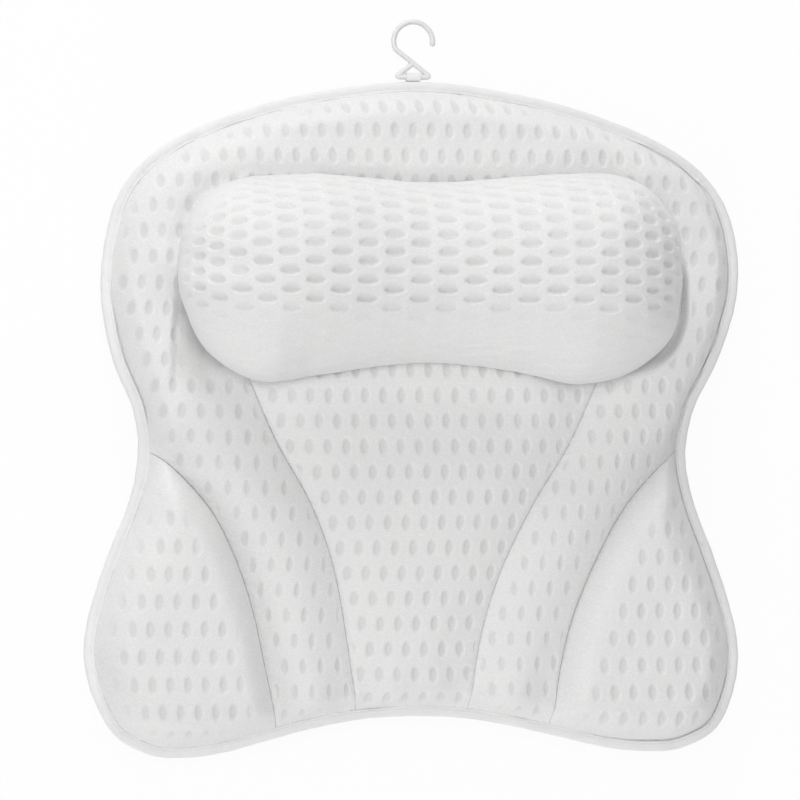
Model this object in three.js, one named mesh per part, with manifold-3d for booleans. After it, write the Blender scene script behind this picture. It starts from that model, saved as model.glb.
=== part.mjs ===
// A bath pillow. Padded mesh panels and a stuffed neck roll lie on a flat back, which suction cups
// hold to a bath through two-part grommets. A small hook swings in a ribbon loop at the top edge.
// Millimetres. +X is to the right, +Y is towards the hook, and +Z is towards the bather's head.
import * as THREE from "three";
import { mergeVertices } from "three/addons/utils/BufferGeometryUtils.js";
import Module from "manifold-3d";

const wasm = await Module();
wasm.setup();

// Overall sizes
const pillowWidth = 394;
const pillowHeight = 401;
const fitGap = 0.3;
const seamGap = 0.4;

// Suction cups
const cupRadius = 30;
const cupHeight = 15;
const cupRimWidth = 3.5;
const cupLipHeight = 0.9;
const cupHollow = 6.5;
const cupBossRadius = 9;
const cupBossHeight = 4;
const cupNeckRadius = 4;
const cupHeadRadius = 6.5;
const cupHeadHeight = 4.6;

// Grommets, each a flanged barrel with its washer
const grommetRadius = 10;
const grommetFlange = 1.2;
const grommetWall = 1.5;
const grommetLipWidth = 1.6;
const grommetLipHeight = 1;
const washerThickness = 1.2;
const neckClearance = 0.4;

// Fabric layers
const backThickness = 2.4;
const coverThickness = 3.5;
const coverEdgeThickness = 1.6;
const tapeThickness = 1;
const tapeWidth = 6;
const tapeChamfer = 1.8;
const fillEase = 0.8;

// Heights of the padding above the back panel's upper face
const borderRise = 27;
const centreRise = 23.5;
const wingRise = 37;
const seatRise = 17;
const innerSeamRise = 17;
const wingSeamRise = 15;
const quiltReach = 26;
const wingReach = 44;
const wingSideReach = 28;

// Neck roll
const rollLength = 298;
const rollDepth = 122;
const rollMargin = 56;
const rollLobeHeight = 72;
const rollWaistHeight = 62;
const rollSpine = 176;
const rollFlange = 12;

// Hook and the ribbon loop that it swings in
const hookRadius = 11.7;
const hookCentreHeight = 21.2;
const hookRod = 1.6;
const hookJointRadius = 1.75;
const hookBaseWidth = 21;
const hookShoulderX = 10.6;
const hookShoulderY = 16.4;
const hookBend = 2.6;
const ribbonWidth = 8.6;
const ribbonThickness = 0.6;

// How finely everything is divided
const outlineSteps = 240;
const archSteps = 22;
const wingSteps = 18;
const stripSteps = 4;
const frontSteps = 3;
const seamSteps = 15;
const rollArchSteps = 20;
const rollFrontSteps = 6;
const nodeSpacing = 13.5;
const nodeClear = 2;
const mergeReach = 0.001;
const nodeFreeShare = 0.7;
const nodeRowShare = 0.85;
const farShare = 20;
const roundSides = 16;
const rodSides = 8;
const rodSteps = 56;
const ribbonSteps = 12;

// Right half of the pillow's outline, as shares of half its width and half its height
const outlineShares = [
  [0, 1],
  [0.295, 0.967],
  [0.489, 0.922],
  [0.725, 0.832],
  [0.857, 0.743],
  [0.934, 0.634],
  [0.972, 0.473],
  [0.969, 0.338],
  [0.924, 0.17],
  [0.857, 0.024],
  [0.836, -0.111],
  [0.862, -0.246],
  [0.932, -0.425],
  [0.988, -0.605],
  [1, -0.709],
  [0.976, -0.829],
  [0.914, -0.938],
  [0.8, -0.994],
  [0.711, -1],
  [0.599, -0.989],
  [0.467, -0.958],
  [0.315, -0.921],
  [0.152, -0.893],
  [0, -0.886],
];

// The right-hand seams from their upper ends down, in the same shares
const innerSeamShares = [
  [0.548, 0.1],
  [0.447, -0.07],
  [0.335, -0.26],
  [0.254, -0.449],
  [0.206, -0.639],
  [0.173, -0.848],
  [0.168, -0.895],
];
const wingSeamShares = [
  [0.835, -0.085],
  [0.741, -0.145],
  [0.629, -0.269],
  [0.548, -0.419],
  [0.487, -0.579],
  [0.449, -0.739],
  [0.424, -0.878],
  [0.411, -0.946],
];

// Right half of the neck roll's seam, as shares of half its length and half its depth
const rollShares = [
  [0, 0.87],
  [0.22, 0.9],
  [0.42, 0.94],
  [0.6, 0.96],
  [0.76, 0.92],
  [0.89, 0.77],
  [0.975, 0.48],
  [1, 0.12],
  [0.982, -0.25],
  [0.915, -0.6],
  [0.825, -0.8],
  [0.725, -0.92],
  [0.6, -0.96],
  [0.42, -0.92],
  [0.22, -0.85],
  [0, -0.81],
];

// The roll's section from its seam to its crown: share of the way out, share of the height
const rollSectionShares = [
  [1, 0],
  [1.06, 0.1],
  [1.08, 0.26],
  [1.03, 0.46],
  [0.92, 0.65],
  [0.74, 0.82],
  [0.48, 0.94],
  [0.2, 0.99],
];

// How far down each seam's corner the seat panel reaches, as a share
const seatCornerShare = 0.7;

// Steps out from the middle of a cup, and how sharply its dome turns down
const curveShares = [0, 0.33, 0.67, 1];
const cupDomeShare = 1.6;

// The hook's arc, in half turns from the right, how far its leg runs before the joint, and the
// most of a straight run that a bend takes
const hookTipShare = -0.03;
const hookTailShare = 1.1;
const hookLegShare = 0.9;
const hookBendShare = 0.45;

// Suction cup centres on the right half, in shares of half the width and half the height
const cupShares = [
  [0.57, 0.55],
  [0.62, -0.03],
  [0.66, -0.62],
];

// Levels, from the surface that the cups' rims stand on
const flangeZ = cupHeight + fitGap;
const backZ = flangeZ + grommetFlange + fitGap;
const backTopZ = backZ + backThickness;
const washerZ = backTopZ + fitGap;
const lipZ = washerZ + washerThickness + fitGap;
const headZ = lipZ + grommetLipHeight + fitGap;
const layerZ = backTopZ + fitGap;
const edgeTopZ = layerZ + coverEdgeThickness;
const seatZ = backTopZ + seatRise;
const rollZ = seatZ + fitGap;

// Distances in from the pillow's outer line, or from the edge of its fabric
const fabricInset = tapeThickness + fitGap;
const flapClear = tapeWidth - fabricInset + 2 * fitGap;
const edgeFlat = flapClear + fitGap;
const fillInset = edgeFlat + coverThickness;

// Radii of the grommets and of the room round them
const boreRadius = cupNeckRadius + neckClearance;
const barrelRadius = boreRadius + grommetWall;
const holeRadius = barrelRadius + fitGap;
const pocketRadius = grommetRadius + 2 * fitGap;

const halfWidth = pillowWidth / 2;
const halfHeight = pillowHeight / 2;
const rollCentreY = halfHeight - rollMargin - rollDepth / 2;
const vec2 = (x, y) => new THREE.Vector2(x, y);
const vec3 = (p, z) => new THREE.Vector3(p.x, p.y, z);
const mirror = (p) => vec2(-p.x, p.y);
const mirrored = (half) => half.slice(1, -1).reverse().map(mirror);
const wholeLoop = (half) => [...half, ...mirrored(half)].reverse();
const fromShare = ([x, y]) => vec2(x * halfWidth, y * halfHeight);

// A line of points in the plane that can be measured along its length.
class Line {
  constructor(points) {
    this.points = points;
    this.lengths = [0];
    for (let i = 1; i < points.length; i++) {
      this.lengths.push(this.lengths[i - 1] + points[i].distanceTo(points[i - 1]));
    }
    this.length = this.lengths.at(-1);
  }

  // The point at a length along the line, moved to the right of the way along it by an offset.
  at(length, offset = 0) {
    let i = 1;
    while (i < this.points.length - 1 && this.lengths[i] < length) i++;
    const [a, b] = [this.points[i - 1], this.points[i]];
    const share = (length - this.lengths[i - 1]) / (this.lengths[i] - this.lengths[i - 1]);
    const along = b.clone().sub(a).normalize();
    return a.clone().lerp(b, share).addScaledVector(vec2(along.y, -along.x), offset);
  }

  // The distance from a point to the line, and the length along the line where it is nearest.
  nearest(p) {
    const found = { distance: Infinity, length: 0 };
    for (let i = 1; i < this.points.length; i++) {
      const [a, b] = [this.points[i - 1], this.points[i]];
      const side = b.clone().sub(a);
      const share = THREE.MathUtils.clamp(p.clone().sub(a).dot(side) / side.lengthSq(), 0, 1);
      const distance = a.clone().addScaledVector(side, share).distanceTo(p);
      if (distance < found.distance) {
        found.distance = distance;
        found.length = this.lengths[i - 1] + share * side.length();
      }
    }
    return found;
  }

  // Evenly spaced points between two lengths, moved to the right by an offset.
  nodes(from, to, steps, offset = 0) {
    return Array.from({ length: steps + 1 }, (_, i) =>
      this.at(THREE.MathUtils.lerp(from, to, i / steps), offset),
    );
  }
}

// The right half of a symmetric closed curve, from its top to its bottom.
function halfCurve(shares, across, up, centreY) {
  const right = shares.map(([x, y]) => new THREE.Vector3(x * across, centreY + y * up, 0));
  const left = right.slice(1, -1).reverse().map((p) => new THREE.Vector3(-p.x, p.y, 0));
  const loop = new THREE.CatmullRomCurve3([...right, ...left], true, "centripetal");
  return new Line(
    Array.from({ length: outlineSteps + 1 }, (_, i) => {
      const p = loop.getPoint(i / outlineSteps / 2);
      return vec2(Math.abs(p.x), p.y);
    }),
  );
}

// Points along stretches of a half curve, with both ends held on the pillow's middle line.
function halfNodes(line, stretches, offset) {
  const nodes = stretches.flatMap(([from, to, steps]) =>
    line.nodes(from, to, steps, offset).slice(0, -1),
  );
  nodes.push(line.at(line.length, offset));
  nodes[0].x = 0;
  nodes.at(-1).x = 0;
  return nodes;
}

// The outline turns at the same nodes for every layer at the edge.
const outline = halfCurve(outlineShares, halfWidth, halfHeight, 0);
const waistAt = outline.nearest(fromShare(wingSeamShares[0])).length;
const wingEndAt = outline.nearest(fromShare(wingSeamShares.at(-1))).length;
const innerEndAt = outline.nearest(fromShare(innerSeamShares.at(-1))).length;
const outlineStretches = [
  [0, waistAt, archSteps],
  [waistAt, wingEndAt, wingSteps],
  [wingEndAt, innerEndAt, stripSteps],
  [innerEndAt, outline.length, frontSteps],
];
const outlineNodes = (offset) => halfNodes(outline, outlineStretches, offset);
const edge = outlineNodes(fabricInset);
const edgeLine = new Line(edge);
const waistNode = archSteps;
const wingNode = waistNode + wingSteps;
const innerNode = wingNode + stripSteps;

// The neck roll's seam turns at the corner where the inner seam starts.
const rollSeam = halfCurve(rollShares, rollLength / 2, rollDepth / 2, rollCentreY);
const cornerAt = rollSeam.nearest(fromShare(innerSeamShares[0])).length;
const rollStretches = [
  [0, cornerAt, rollArchSteps],
  [cornerAt, rollSeam.length, rollFrontSteps],
];
const rim = halfNodes(rollSeam, rollStretches, 0);
const rimLine = new Line(rim);
const flange = halfNodes(rollSeam, rollStretches, rollFlange);
const cornerNode = rollArchSteps;

// A seam through points given as shares, between a start and an end that lie on other lines.
function seamLine(shares, start, end) {
  const middle = shares.slice(1, -1).map(fromShare);
  const curve = new THREE.SplineCurve([start, ...middle, end]);
  return new Line(curve.getSpacedPoints(outlineSteps / 2));
}

const innerSeam = seamLine(innerSeamShares, rim[cornerNode], edge[innerNode]);
const wingSeam = seamLine(wingSeamShares, edge[waistNode], edge[wingNode]);

const edgeDepth = (p) => edgeLine.nearest(vec2(Math.abs(p.x), p.y)).distance;

// The length along a seam, out from one of its ends, where the pillow's edge is at a depth away.
function lengthAtDepth(seam, fromEnd, depth) {
  let [near, far] = [0, seam.length / 2];
  for (let i = 0; i < outlineSteps; i++) {
    const middle = (near + far) / 2;
    const at = fromEnd ? seam.length - middle : middle;
    if (edgeDepth(seam.at(at)) < depth) near = middle;
    else far = middle;
  }
  return fromEnd ? seam.length - far : far;
}

// Nodes down a seam, with two close to each end that lies on the pillow's edge.
function seamNodes(seam, offset) {
  const depths = [flapClear, fillInset];
  const top = edgeDepth(seam.at(0)) < fitGap ? depths.map((d) => lengthAtDepth(seam, false, d)) : [];
  const bottom = depths.map((d) => lengthAtDepth(seam, true, d)).reverse();
  const from = top.at(-1) ?? 0;
  const even = seam.nodes(from, bottom[0], seamSteps, offset);
  const ends = (lengths) => lengths.map((length) => seam.at(length, offset));
  const start = top.length ? [seam.at(0, offset), ...ends(top.slice(0, -1))] : [];
  return [...start, ...even, ...ends(bottom.slice(1)), seam.at(seam.length, offset)];
}

// Outlines of the covers, either side of each seam
const flangeTop = flange.slice(0, cornerNode);
const flangeFront = flange.slice(cornerNode + 1);
const borderHalf = [
  ...edge.slice(0, waistNode),
  ...seamNodes(wingSeam, seamGap / 2),
  ...edge.slice(wingNode + 1, innerNode),
  ...seamNodes(innerSeam, -seamGap / 2).reverse(),
  ...flangeTop.toReversed(),
];
const centreHalf = [
  ...flangeFront.toReversed(),
  ...seamNodes(innerSeam, seamGap / 2),
  ...edge.slice(innerNode + 1),
];
const rightWing = [
  ...seamNodes(wingSeam, -seamGap / 2),
  ...edge.slice(waistNode + 1, wingNode).reverse(),
];
const seatHalf = halfNodes(rollSeam, rollStretches, rollFlange + seamGap);
seatHalf[cornerNode].lerp(rim[cornerNode], seatCornerShare);
const outlines = {
  border: wholeLoop(borderHalf),
  centre: wholeLoop(centreHalf),
  rightWing,
  leftWing: rightWing.map(mirror).reverse(),
  seat: wholeLoop(seatHalf),
};

// Walls that hold the padding down: each one's line, its height, and how far the padding takes to rise.
const seamWall = (line, rise, reach) => ({ line, z: backTopZ + rise, flat: seamGap, reach });
const edgeWall = (reach) => ({ line: edgeLine, z: edgeTopZ, flat: edgeFlat, reach });
const rollWall = { line: rimLine, z: seatZ, flat: seamGap, reach: quiltReach, closed: true };
const panels = {
  border: {
    crest: backTopZ + borderRise,
    walls: [
      edgeWall(quiltReach),
      rollWall,
      seamWall(innerSeam, innerSeamRise, quiltReach),
      seamWall(wingSeam, wingSeamRise, quiltReach),
    ],
  },
  centre: {
    crest: backTopZ + centreRise,
    walls: [edgeWall(quiltReach), rollWall, seamWall(innerSeam, innerSeamRise, quiltReach)],
  },
  wing: {
    crest: backTopZ + wingRise,
    walls: [edgeWall(wingReach), seamWall(wingSeam, wingSeamRise, wingSideReach)],
  },
};

// Whether a point lies inside a closed outline.
function inside(ring, p) {
  return ring.reduce((within, b, i) => {
    const a = ring.at(i - 1);
    const spans = a.y > p.y !== b.y > p.y;
    return spans && p.x < a.x + ((p.y - a.y) / (b.y - a.y)) * (b.x - a.x) ? !within : within;
  }, false);
}

// Height of a panel at a point: its crest, drawn down to the height of each wall near it.
function padHeight({ crest, walls }, p) {
  const at = vec2(Math.abs(p.x), p.y);
  const rise = THREE.MathUtils.smoothstep(edgeDepth(at), edgeFlat, fillInset + edgeFlat);
  let [free, pull, level] = [1, 0, 0];
  for (const wall of walls) {
    const under = wall.closed && inside(wholeLoop(wall.line.points), at);
    const distance = under ? 0 : wall.line.nearest(at).distance;
    const away = Math.max(0, distance - wall.flat);
    free *= 1 - Math.max(0, 1 - away / wall.reach) ** 2;
    const weight = 1 / (away ** 2 + fitGap ** 2);
    pull += weight;
    level += weight * THREE.MathUtils.lerp(edgeTopZ, wall.z, rise);
  }
  level /= pull;
  return level + (crest - level) * free;
}

// Joins points in the plane into triangles that are as even as they can be.
function triangulate(points) {
  const far = farShare * pillowHeight;
  const all = [...points, vec2(-far, -far), vec2(far, -far), vec2(0, far)];
  const circled = (a, b, c) => {
    const [u, v] = [all[b].clone().sub(all[a]), all[c].clone().sub(all[a])];
    const [uu, vv, turn] = [u.lengthSq(), v.lengthSq(), 2 * u.cross(v)];
    const out = vec2((v.y * uu - u.y * vv) / turn, (u.x * vv - v.x * uu) / turn);
    return { face: [a, b, c], centre: out.clone().add(all[a]), radius: out.length() };
  };
  const first = points.length;
  let triangles = [circled(first, first + 1, first + 2)];
  points.forEach((p, i) => {
    const [open, kept] = [[], []];
    triangles.forEach((t) => (t.centre.distanceTo(p) < t.radius ? open : kept).push(t));
    const sides = open.flatMap(({ face: [a, b, c] }) => [[a, b], [b, c], [c, a]]);
    const outer = sides.filter(([a, b]) => !sides.some(([c, d]) => a === d && b === c));
    triangles = [...kept, ...outer.map(([a, b]) => circled(a, b, i))];
  });
  return triangles.map((t) => t.face).filter((face) => Math.max(...face) < first);
}

function facesInside(ring, points) {
  const nodes = points.map(({ x, y }) => vec2(x, y));
  const middle = ([a, b, c]) => nodes[a].clone().add(nodes[b]).add(nodes[c]).divideScalar(3);
  return triangulate(nodes).filter((face) => inside(ring, middle(face)));
}

// Nodes and triangles that fill an outline, with rows of nodes by the binding and under the neck roll.
function meshOutline(ring) {
  const closed = new Line([...ring, ring[0]]);
  const clear = (p, gap) => inside(ring, p) && closed.nearest(p).distance > gap;
  const byEdge = (depth) => outlineNodes(fabricInset + depth);
  const rows = [byEdge(flapClear), byEdge(fillInset), rim].flatMap(wholeLoop);
  const inner = rows.filter((p) => clear(p, nodeClear));
  const addFree = (p) => {
    const free = inner.every((q) => q.distanceTo(p) > nodeSpacing * nodeFreeShare);
    if (free && clear(p, nodeSpacing / 2)) inner.push(p);
  };
  const parallels = [1, 2, 3].map((row) => byEdge(fillInset + row * nodeSpacing * nodeRowShare));
  parallels.flatMap(wholeLoop).forEach(addFree);
  const rowStep = nodeSpacing * Math.sin(Math.PI / 3);
  for (let j = -Math.ceil(halfHeight / rowStep); j * rowStep < halfHeight; j++) {
    for (let i = -Math.ceil(halfWidth / nodeSpacing); i * nodeSpacing < halfWidth; i++) {
      addFree(vec2((i + (j % 2 ? 0.5 : 0)) * nodeSpacing, j * rowStep));
    }
  }
  const nodes = [...ring, ...inner];
  return { ring, nodes, faces: facesInside(ring, nodes) };
}

// A closed solid between two heights over the same nodes.
function sheetSolid({ ring, nodes, faces }, top, bottom) {
  const n = nodes.length;
  const points = [...nodes.map((p) => vec3(p, top(p))), ...nodes.map((p) => vec3(p, bottom(p)))];
  const under = faces.map(([a, b, c]) => [a + n, c + n, b + n]);
  const turn = THREE.ShapeUtils.isClockWise(ring) ? -1 : 1;
  const side = ring.flatMap((_, i) => {
    const next = (i + 1) % ring.length;
    const [a, b] = turn > 0 ? [i, next] : [next, i];
    return [[a, a + n, b + n], [a, b + n, b]];
  });
  return indexed(points, [...faces, ...under, ...side]);
}

function indexed(points, faces) {
  const geometry = new THREE.BufferGeometry().setFromPoints(points);
  geometry.setIndex(faces.flat());
  return facingOut(geometry);
}

// Turns the triangles of a closed geometry over if they face inwards.
function facingOut(geometry) {
  const corners = geometry.getAttribute("position");
  const corner = (i) => new THREE.Vector3().fromBufferAttribute(corners, i);
  const index = geometry.index.array;
  let volume = 0;
  for (let i = 0; i < index.length; i += 3) {
    volume += corner(index[i]).dot(corner(index[i + 1]).cross(corner(index[i + 2])));
  }
  if (volume < 0) geometry.setIndex(Array.from(index).reverse());
  return geometry;
}

// A closed skin over rings of equal length. The first and last rings are capped, or joined if looped.
function ringSolid(rings, looped = false) {
  const n = rings[0].length;
  const count = looped ? rings.length : rings.length - 1;
  const faces = [];
  for (let r = 0; r < count; r++) {
    const [low, high] = [r * n, ((r + 1) % rings.length) * n];
    for (let i = 0; i < n; i++) {
      const next = (i + 1) % n;
      faces.push([low + i, low + next, high + next], [low + i, high + next, high + i]);
    }
  }
  if (!looped) {
    const cap = (ring) => facesInside(ring, ring);
    const last = (rings.length - 1) * n;
    faces.push(...cap(rings.at(-1)).map((face) => face.map((i) => i + last)));
    faces.push(...cap(rings[0]).map(([a, b, c]) => [a, c, b]));
  }
  return indexed(rings.flat(), faces);
}

// A flat plate over an outline, from one level to another.
function plate(ring, from, to, holes = []) {
  const shape = new THREE.Shape(ring);
  shape.holes = holes.map(({ x, y }) => new THREE.Path().absarc(x, y, holeRadius, 0, 2 * Math.PI));
  const options = { depth: to - from, bevelEnabled: false, curveSegments: roundSides / 2 };
  return new THREE.ExtrudeGeometry(shape, options).translate(0, 0, from);
}

// A turned solid that stands on a centre, with a closed profile of radii and levels.
function turned(profile, { x, y }) {
  const points = profile.map(([radius, z]) => vec2(radius, z));
  const lathe = new THREE.LatheGeometry(points, roundSides);
  return facingOut(lathe.rotateX(Math.PI / 2).translate(x, y, 0));
}

function toManifold(geometry) {
  const plain = new THREE.BufferGeometry();
  plain.setAttribute("position", geometry.getAttribute("position"));
  plain.setIndex(geometry.index);
  const merged = mergeVertices(plain, mergeReach);
  return new wasm.Manifold(
    new wasm.Mesh({
      numProp: 3,
      vertProperties: Float32Array.from(merged.getAttribute("position").array),
      triVerts: Uint32Array.from(merged.index.array),
    }),
  );
}

function fromManifold(manifold) {
  const { vertProperties, triVerts } = manifold.getMesh();
  const geometry = new THREE.BufferGeometry();
  geometry.setAttribute("position", new THREE.BufferAttribute(Float32Array.from(vertProperties), 3));
  geometry.setIndex(Array.from(triVerts));
  return geometry;
}

// Suction cups and the grommets that hold them
const rightCups = cupShares.map(fromShare);
const cupCentres = [...rightCups, ...rightCups.map(mirror)];

const suctionCup = (centre) => {
  const domed = (share) => [
    THREE.MathUtils.lerp(cupBossRadius, cupRadius, share),
    THREE.MathUtils.lerp(cupHeight - cupBossHeight, cupLipHeight, share ** cupDomeShare),
  ];
  const hollow = (share) => [
    (cupRadius - cupRimWidth) * share,
    cupHollow * (1 - share ** 2),
  ];
  const profile = [
    ...curveShares.map(hollow),
    [cupRadius, 0],
    ...curveShares.toReversed().map(domed),
    [cupBossRadius, cupHeight],
    [cupNeckRadius, cupHeight],
    [cupNeckRadius, headZ],
    [cupHeadRadius, headZ],
    [cupHeadRadius, headZ + cupHeadHeight / 2],
    [cupNeckRadius, headZ + cupHeadHeight],
    [0, headZ + cupHeadHeight],
  ];
  return turned(profile, centre);
};

const grommet = (centre) => {
  const profile = [
    [boreRadius, flangeZ],
    [grommetRadius, flangeZ],
    [grommetRadius, flangeZ + grommetFlange],
    [barrelRadius, flangeZ + grommetFlange],
    [barrelRadius, lipZ],
    [barrelRadius + grommetLipWidth, lipZ],
    [barrelRadius + grommetLipWidth, lipZ + grommetLipHeight],
    [boreRadius, lipZ + grommetLipHeight],
    [boreRadius, flangeZ],
  ];
  return turned(profile, centre);
};

const washer = (centre) => {
  const profile = [
    [holeRadius, washerZ],
    [grommetRadius, washerZ],
    [grommetRadius, washerZ + washerThickness],
    [holeRadius, washerZ + washerThickness],
    [holeRadius, washerZ],
  ];
  return turned(profile, centre);
};

// Padded covers, and the filling below each, hollowed for the heads of the cups
const coverTop = (panel) => (p) => padHeight(panel, p);
const coverUnder = (panel) => (p) => Math.max(layerZ, padHeight(panel, p) - coverThickness);
const cover = (mesh, panel) => sheetSolid(mesh, coverTop(panel), coverUnder(panel));

function hollowed(manifold) {
  const depth = headZ + cupHeadHeight + fitGap;
  return cupCentres.reduce((left, { x, y }) => {
    const pocket = new THREE.CylinderGeometry(pocketRadius, pocketRadius, depth, roundSides);
    pocket.rotateX(Math.PI / 2).translate(x, y, depth / 2);
    return left.subtract(toManifold(pocket));
  }, manifold);
}

const fillSpace = toManifold(
  plate(wholeLoop(outlineNodes(fabricInset + fillInset)), layerZ, backTopZ + wingRise),
);

function filling(mesh, panel) {
  const top = (p) => coverUnder(panel)(p) - fitGap;
  const body = toManifold(sheetSolid(mesh, top, () => 0));
  return fromManifold(hollowed(body.intersect(fillSpace)));
}

function seatFilling() {
  const top = seatZ - coverThickness - fitGap;
  return fromManifold(hollowed(toManifold(plate(outlines.seat, layerZ, top))));
}

// The neck roll's skin, drawn in by a thickness from its outer face
const rollRings = (thickness) => {
  const spine = rollSpine / 2;
  return rollSectionShares.map(([out, up]) =>
    wholeLoop(rim).map((p) => {
      const root = vec2(THREE.MathUtils.clamp(p.x, -spine, spine), rollCentreY);
      const reach = p.clone().sub(root);
      const at = root.addScaledVector(reach, out * (1 - thickness / reach.length()));
      const lobe = THREE.MathUtils.smoothstep(Math.abs(at.x), 0, spine);
      const height = THREE.MathUtils.lerp(rollWaistHeight, rollLobeHeight, lobe);
      return vec3(at, rollZ + up * (height - thickness));
    }),
  );
};

const rollCover = () => ringSolid([...rollRings(coverThickness).reverse(), ...rollRings(0)]);
const rollFilling = () => ringSolid(rollRings(coverThickness + fillEase));

// The binding's section, folded round the fabric's edge: distances in from the nose, and levels
function binding() {
  const low = backZ - fitGap;
  const high = edgeTopZ + fitGap;
  const section = [
    [0, low - tapeThickness + tapeChamfer],
    [tapeChamfer, low - tapeThickness],
    [tapeWidth, low - tapeThickness],
    [tapeWidth, low],
    [tapeThickness, low],
    [tapeThickness, high],
    [tapeWidth, high],
    [tapeWidth, high + tapeThickness],
    [tapeChamfer, high + tapeThickness],
    [0, high + tapeThickness - tapeChamfer],
  ];
  const rings = section.map(([inset, z]) => wholeLoop(outlineNodes(inset)).map((p) => vec3(p, z)));
  return ringSolid(rings, true);
}

// The hook lies in the plane of the binding, with its bar along X in the ribbon's loop.
const ribbonInner = hookRod + fitGap;
const ribbonOuter = ribbonInner + ribbonThickness;
const barY = halfHeight + fitGap + ribbonOuter;
const barZ = (backZ + edgeTopZ) / 2;

// A rounded path: a curve, then straight runs between corners.
function hookPath(arc, corners) {
  const path = new THREE.CurvePath();
  path.add(new THREE.CatmullRomCurve3(arc));
  let from = arc.at(-1);
  corners.slice(0, -1).forEach((corner, i) => {
    const [before, after] = [corners[i - 1] ?? from, corners[i + 1]].map((p) => {
      const run = p.clone().sub(corner);
      const bend = Math.min(hookBend, run.length() * hookBendShare);
      return run.setLength(bend).add(corner);
    });
    path.add(new THREE.LineCurve3(from, before));
    path.add(new THREE.QuadraticBezierCurve3(before, corner, after));
    from = after;
  });
  path.add(new THREE.LineCurve3(from, corners.at(-1)));
  return path;
}

function hook() {
  const half = hookBaseWidth / 2;
  const at = (x, y) => new THREE.Vector3(x, barY + y, barZ);
  const arc = Array.from({ length: ribbonSteps + 1 }, (_, i) => {
    const turn = Math.PI * THREE.MathUtils.lerp(hookTipShare, hookTailShare, i / ribbonSteps);
    return at(hookRadius * Math.cos(turn), hookCentreHeight + hookRadius * Math.sin(turn));
  });
  const [shoulder, right, left] = [at(-hookShoulderX, hookShoulderY), at(half, 0), at(-half, 0)];
  const apex = right.clone().lerp(shoulder, half / (half + hookShoulderX));
  const legEnd = left.clone().lerp(apex, hookLegShare);
  const shape = new THREE.Shape().absarc(0, 0, hookRod, 0, 2 * Math.PI);
  const extrudePath = hookPath(arc, [shoulder, right, left, legEnd]);
  const options = { steps: rodSteps, extrudePath, curveSegments: rodSides / 2 };
  const body = toManifold(new THREE.ExtrudeGeometry(shape, options));
  const ball = (p) => {
    const sphere = new THREE.SphereGeometry(hookJointRadius, rodSides, rodSides / 2);
    return toManifold(sphere.translate(p.x, p.y, p.z));
  };
  return fromManifold(body.add(ball(arc[0])).add(ball(legEnd)));
}

// The ribbon goes round the hook's bar, and down on both sides to the binding.
function ribbonLoop() {
  const turns = Array.from({ length: ribbonSteps + 1 }, (_, i) => Math.PI * (i / ribbonSteps - 0.5));
  const arc = turns.map((turn) => vec2(Math.cos(turn), Math.sin(turn)).multiplyScalar(ribbonOuter));
  const shape = new THREE.Shape([
    vec2(-ribbonOuter, -ribbonOuter),
    ...arc,
    vec2(-ribbonOuter, ribbonOuter),
  ]);
  shape.holes = [new THREE.Path().absarc(0, 0, ribbonInner, 0, 2 * Math.PI)];
  const options = { depth: ribbonWidth, bevelEnabled: false, curveSegments: ribbonSteps };
  const loop = new THREE.ExtrudeGeometry(shape, options).translate(0, 0, -ribbonWidth / 2);
  return loop.rotateY(Math.PI / 2).rotateX(Math.PI / 2).translate(0, barY, barZ);
}

// Colours, and how each surface takes the light
const finishes = {
  cover: { color: 0xf2f2f0, roughness: 0.95, metalness: 0 },
  filling: { color: 0xfafafa, roughness: 1, metalness: 0 },
  back: { color: 0xe8e8e6, roughness: 0.95, metalness: 0 },
  tape: { color: 0xededeb, roughness: 0.8, metalness: 0 },
  plastic: { color: 0xf4f4f2, roughness: 0.35, metalness: 0 },
  cup: { color: 0xdfe6ea, roughness: 0.15, metalness: 0 },
};

const [borderMesh, centreMesh, rightWingMesh, leftWingMesh] = [
  outlines.border,
  outlines.centre,
  outlines.rightWing,
  outlines.leftWing,
].map(meshOutline);
const numbered = (name, make) =>
  cupCentres.map((centre, i) => [`${name}_${i + 1}`, make(centre)]);
const pieces = {
  cover: [
    ["border_cover", cover(borderMesh, panels.border)],
    ["center_cover", cover(centreMesh, panels.centre)],
    ["right_wing_cover", cover(rightWingMesh, panels.wing)],
    ["left_wing_cover", cover(leftWingMesh, panels.wing)],
    ["neck_roll_cover", rollCover()],
  ],
  filling: [
    ["border_fill", filling(borderMesh, panels.border)],
    ["center_fill", filling(centreMesh, panels.centre)],
    ["right_wing_fill", filling(rightWingMesh, panels.wing)],
    ["left_wing_fill", filling(leftWingMesh, panels.wing)],
    ["seat_fill", seatFilling()],
    ["neck_roll_fill", rollFilling()],
  ],
  back: [
    ["back_panel", plate(wholeLoop(edge), backZ, backTopZ, cupCentres)],
    ["neck_roll_back", plate(outlines.seat, seatZ - coverThickness, seatZ)],
  ],
  tape: [
    ["edge_binding", binding()],
    ["hanging_loop", ribbonLoop()],
  ],
  plastic: [["hanging_hook", hook()], ...numbered("eyelet", grommet), ...numbered("eyelet_washer", washer)],
  cup: numbered("suction_cup", suctionCup),
};

const pillow = new THREE.Group();
pillow.name = "bath_pillow";
for (const [finish, named] of Object.entries(pieces)) {
  for (const [name, geometry] of named) {
    const mesh = new THREE.Mesh(geometry, new THREE.MeshStandardMaterial(finishes[finish]));
    mesh.name = name;
    pillow.add(mesh);
  }
}

// The part's origin is at the middle of its base.
const box = new THREE.Box3().setFromObject(pillow);
const middle = box.getCenter(new THREE.Vector3());
pillow.position.set(-middle.x, -middle.y, -box.min.z);
pillow.updateMatrixWorld(true);

export default pillow;
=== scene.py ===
import math

import bmesh
import bpy
import numpy as np
from mathutils import Matrix, Vector, geometry


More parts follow.
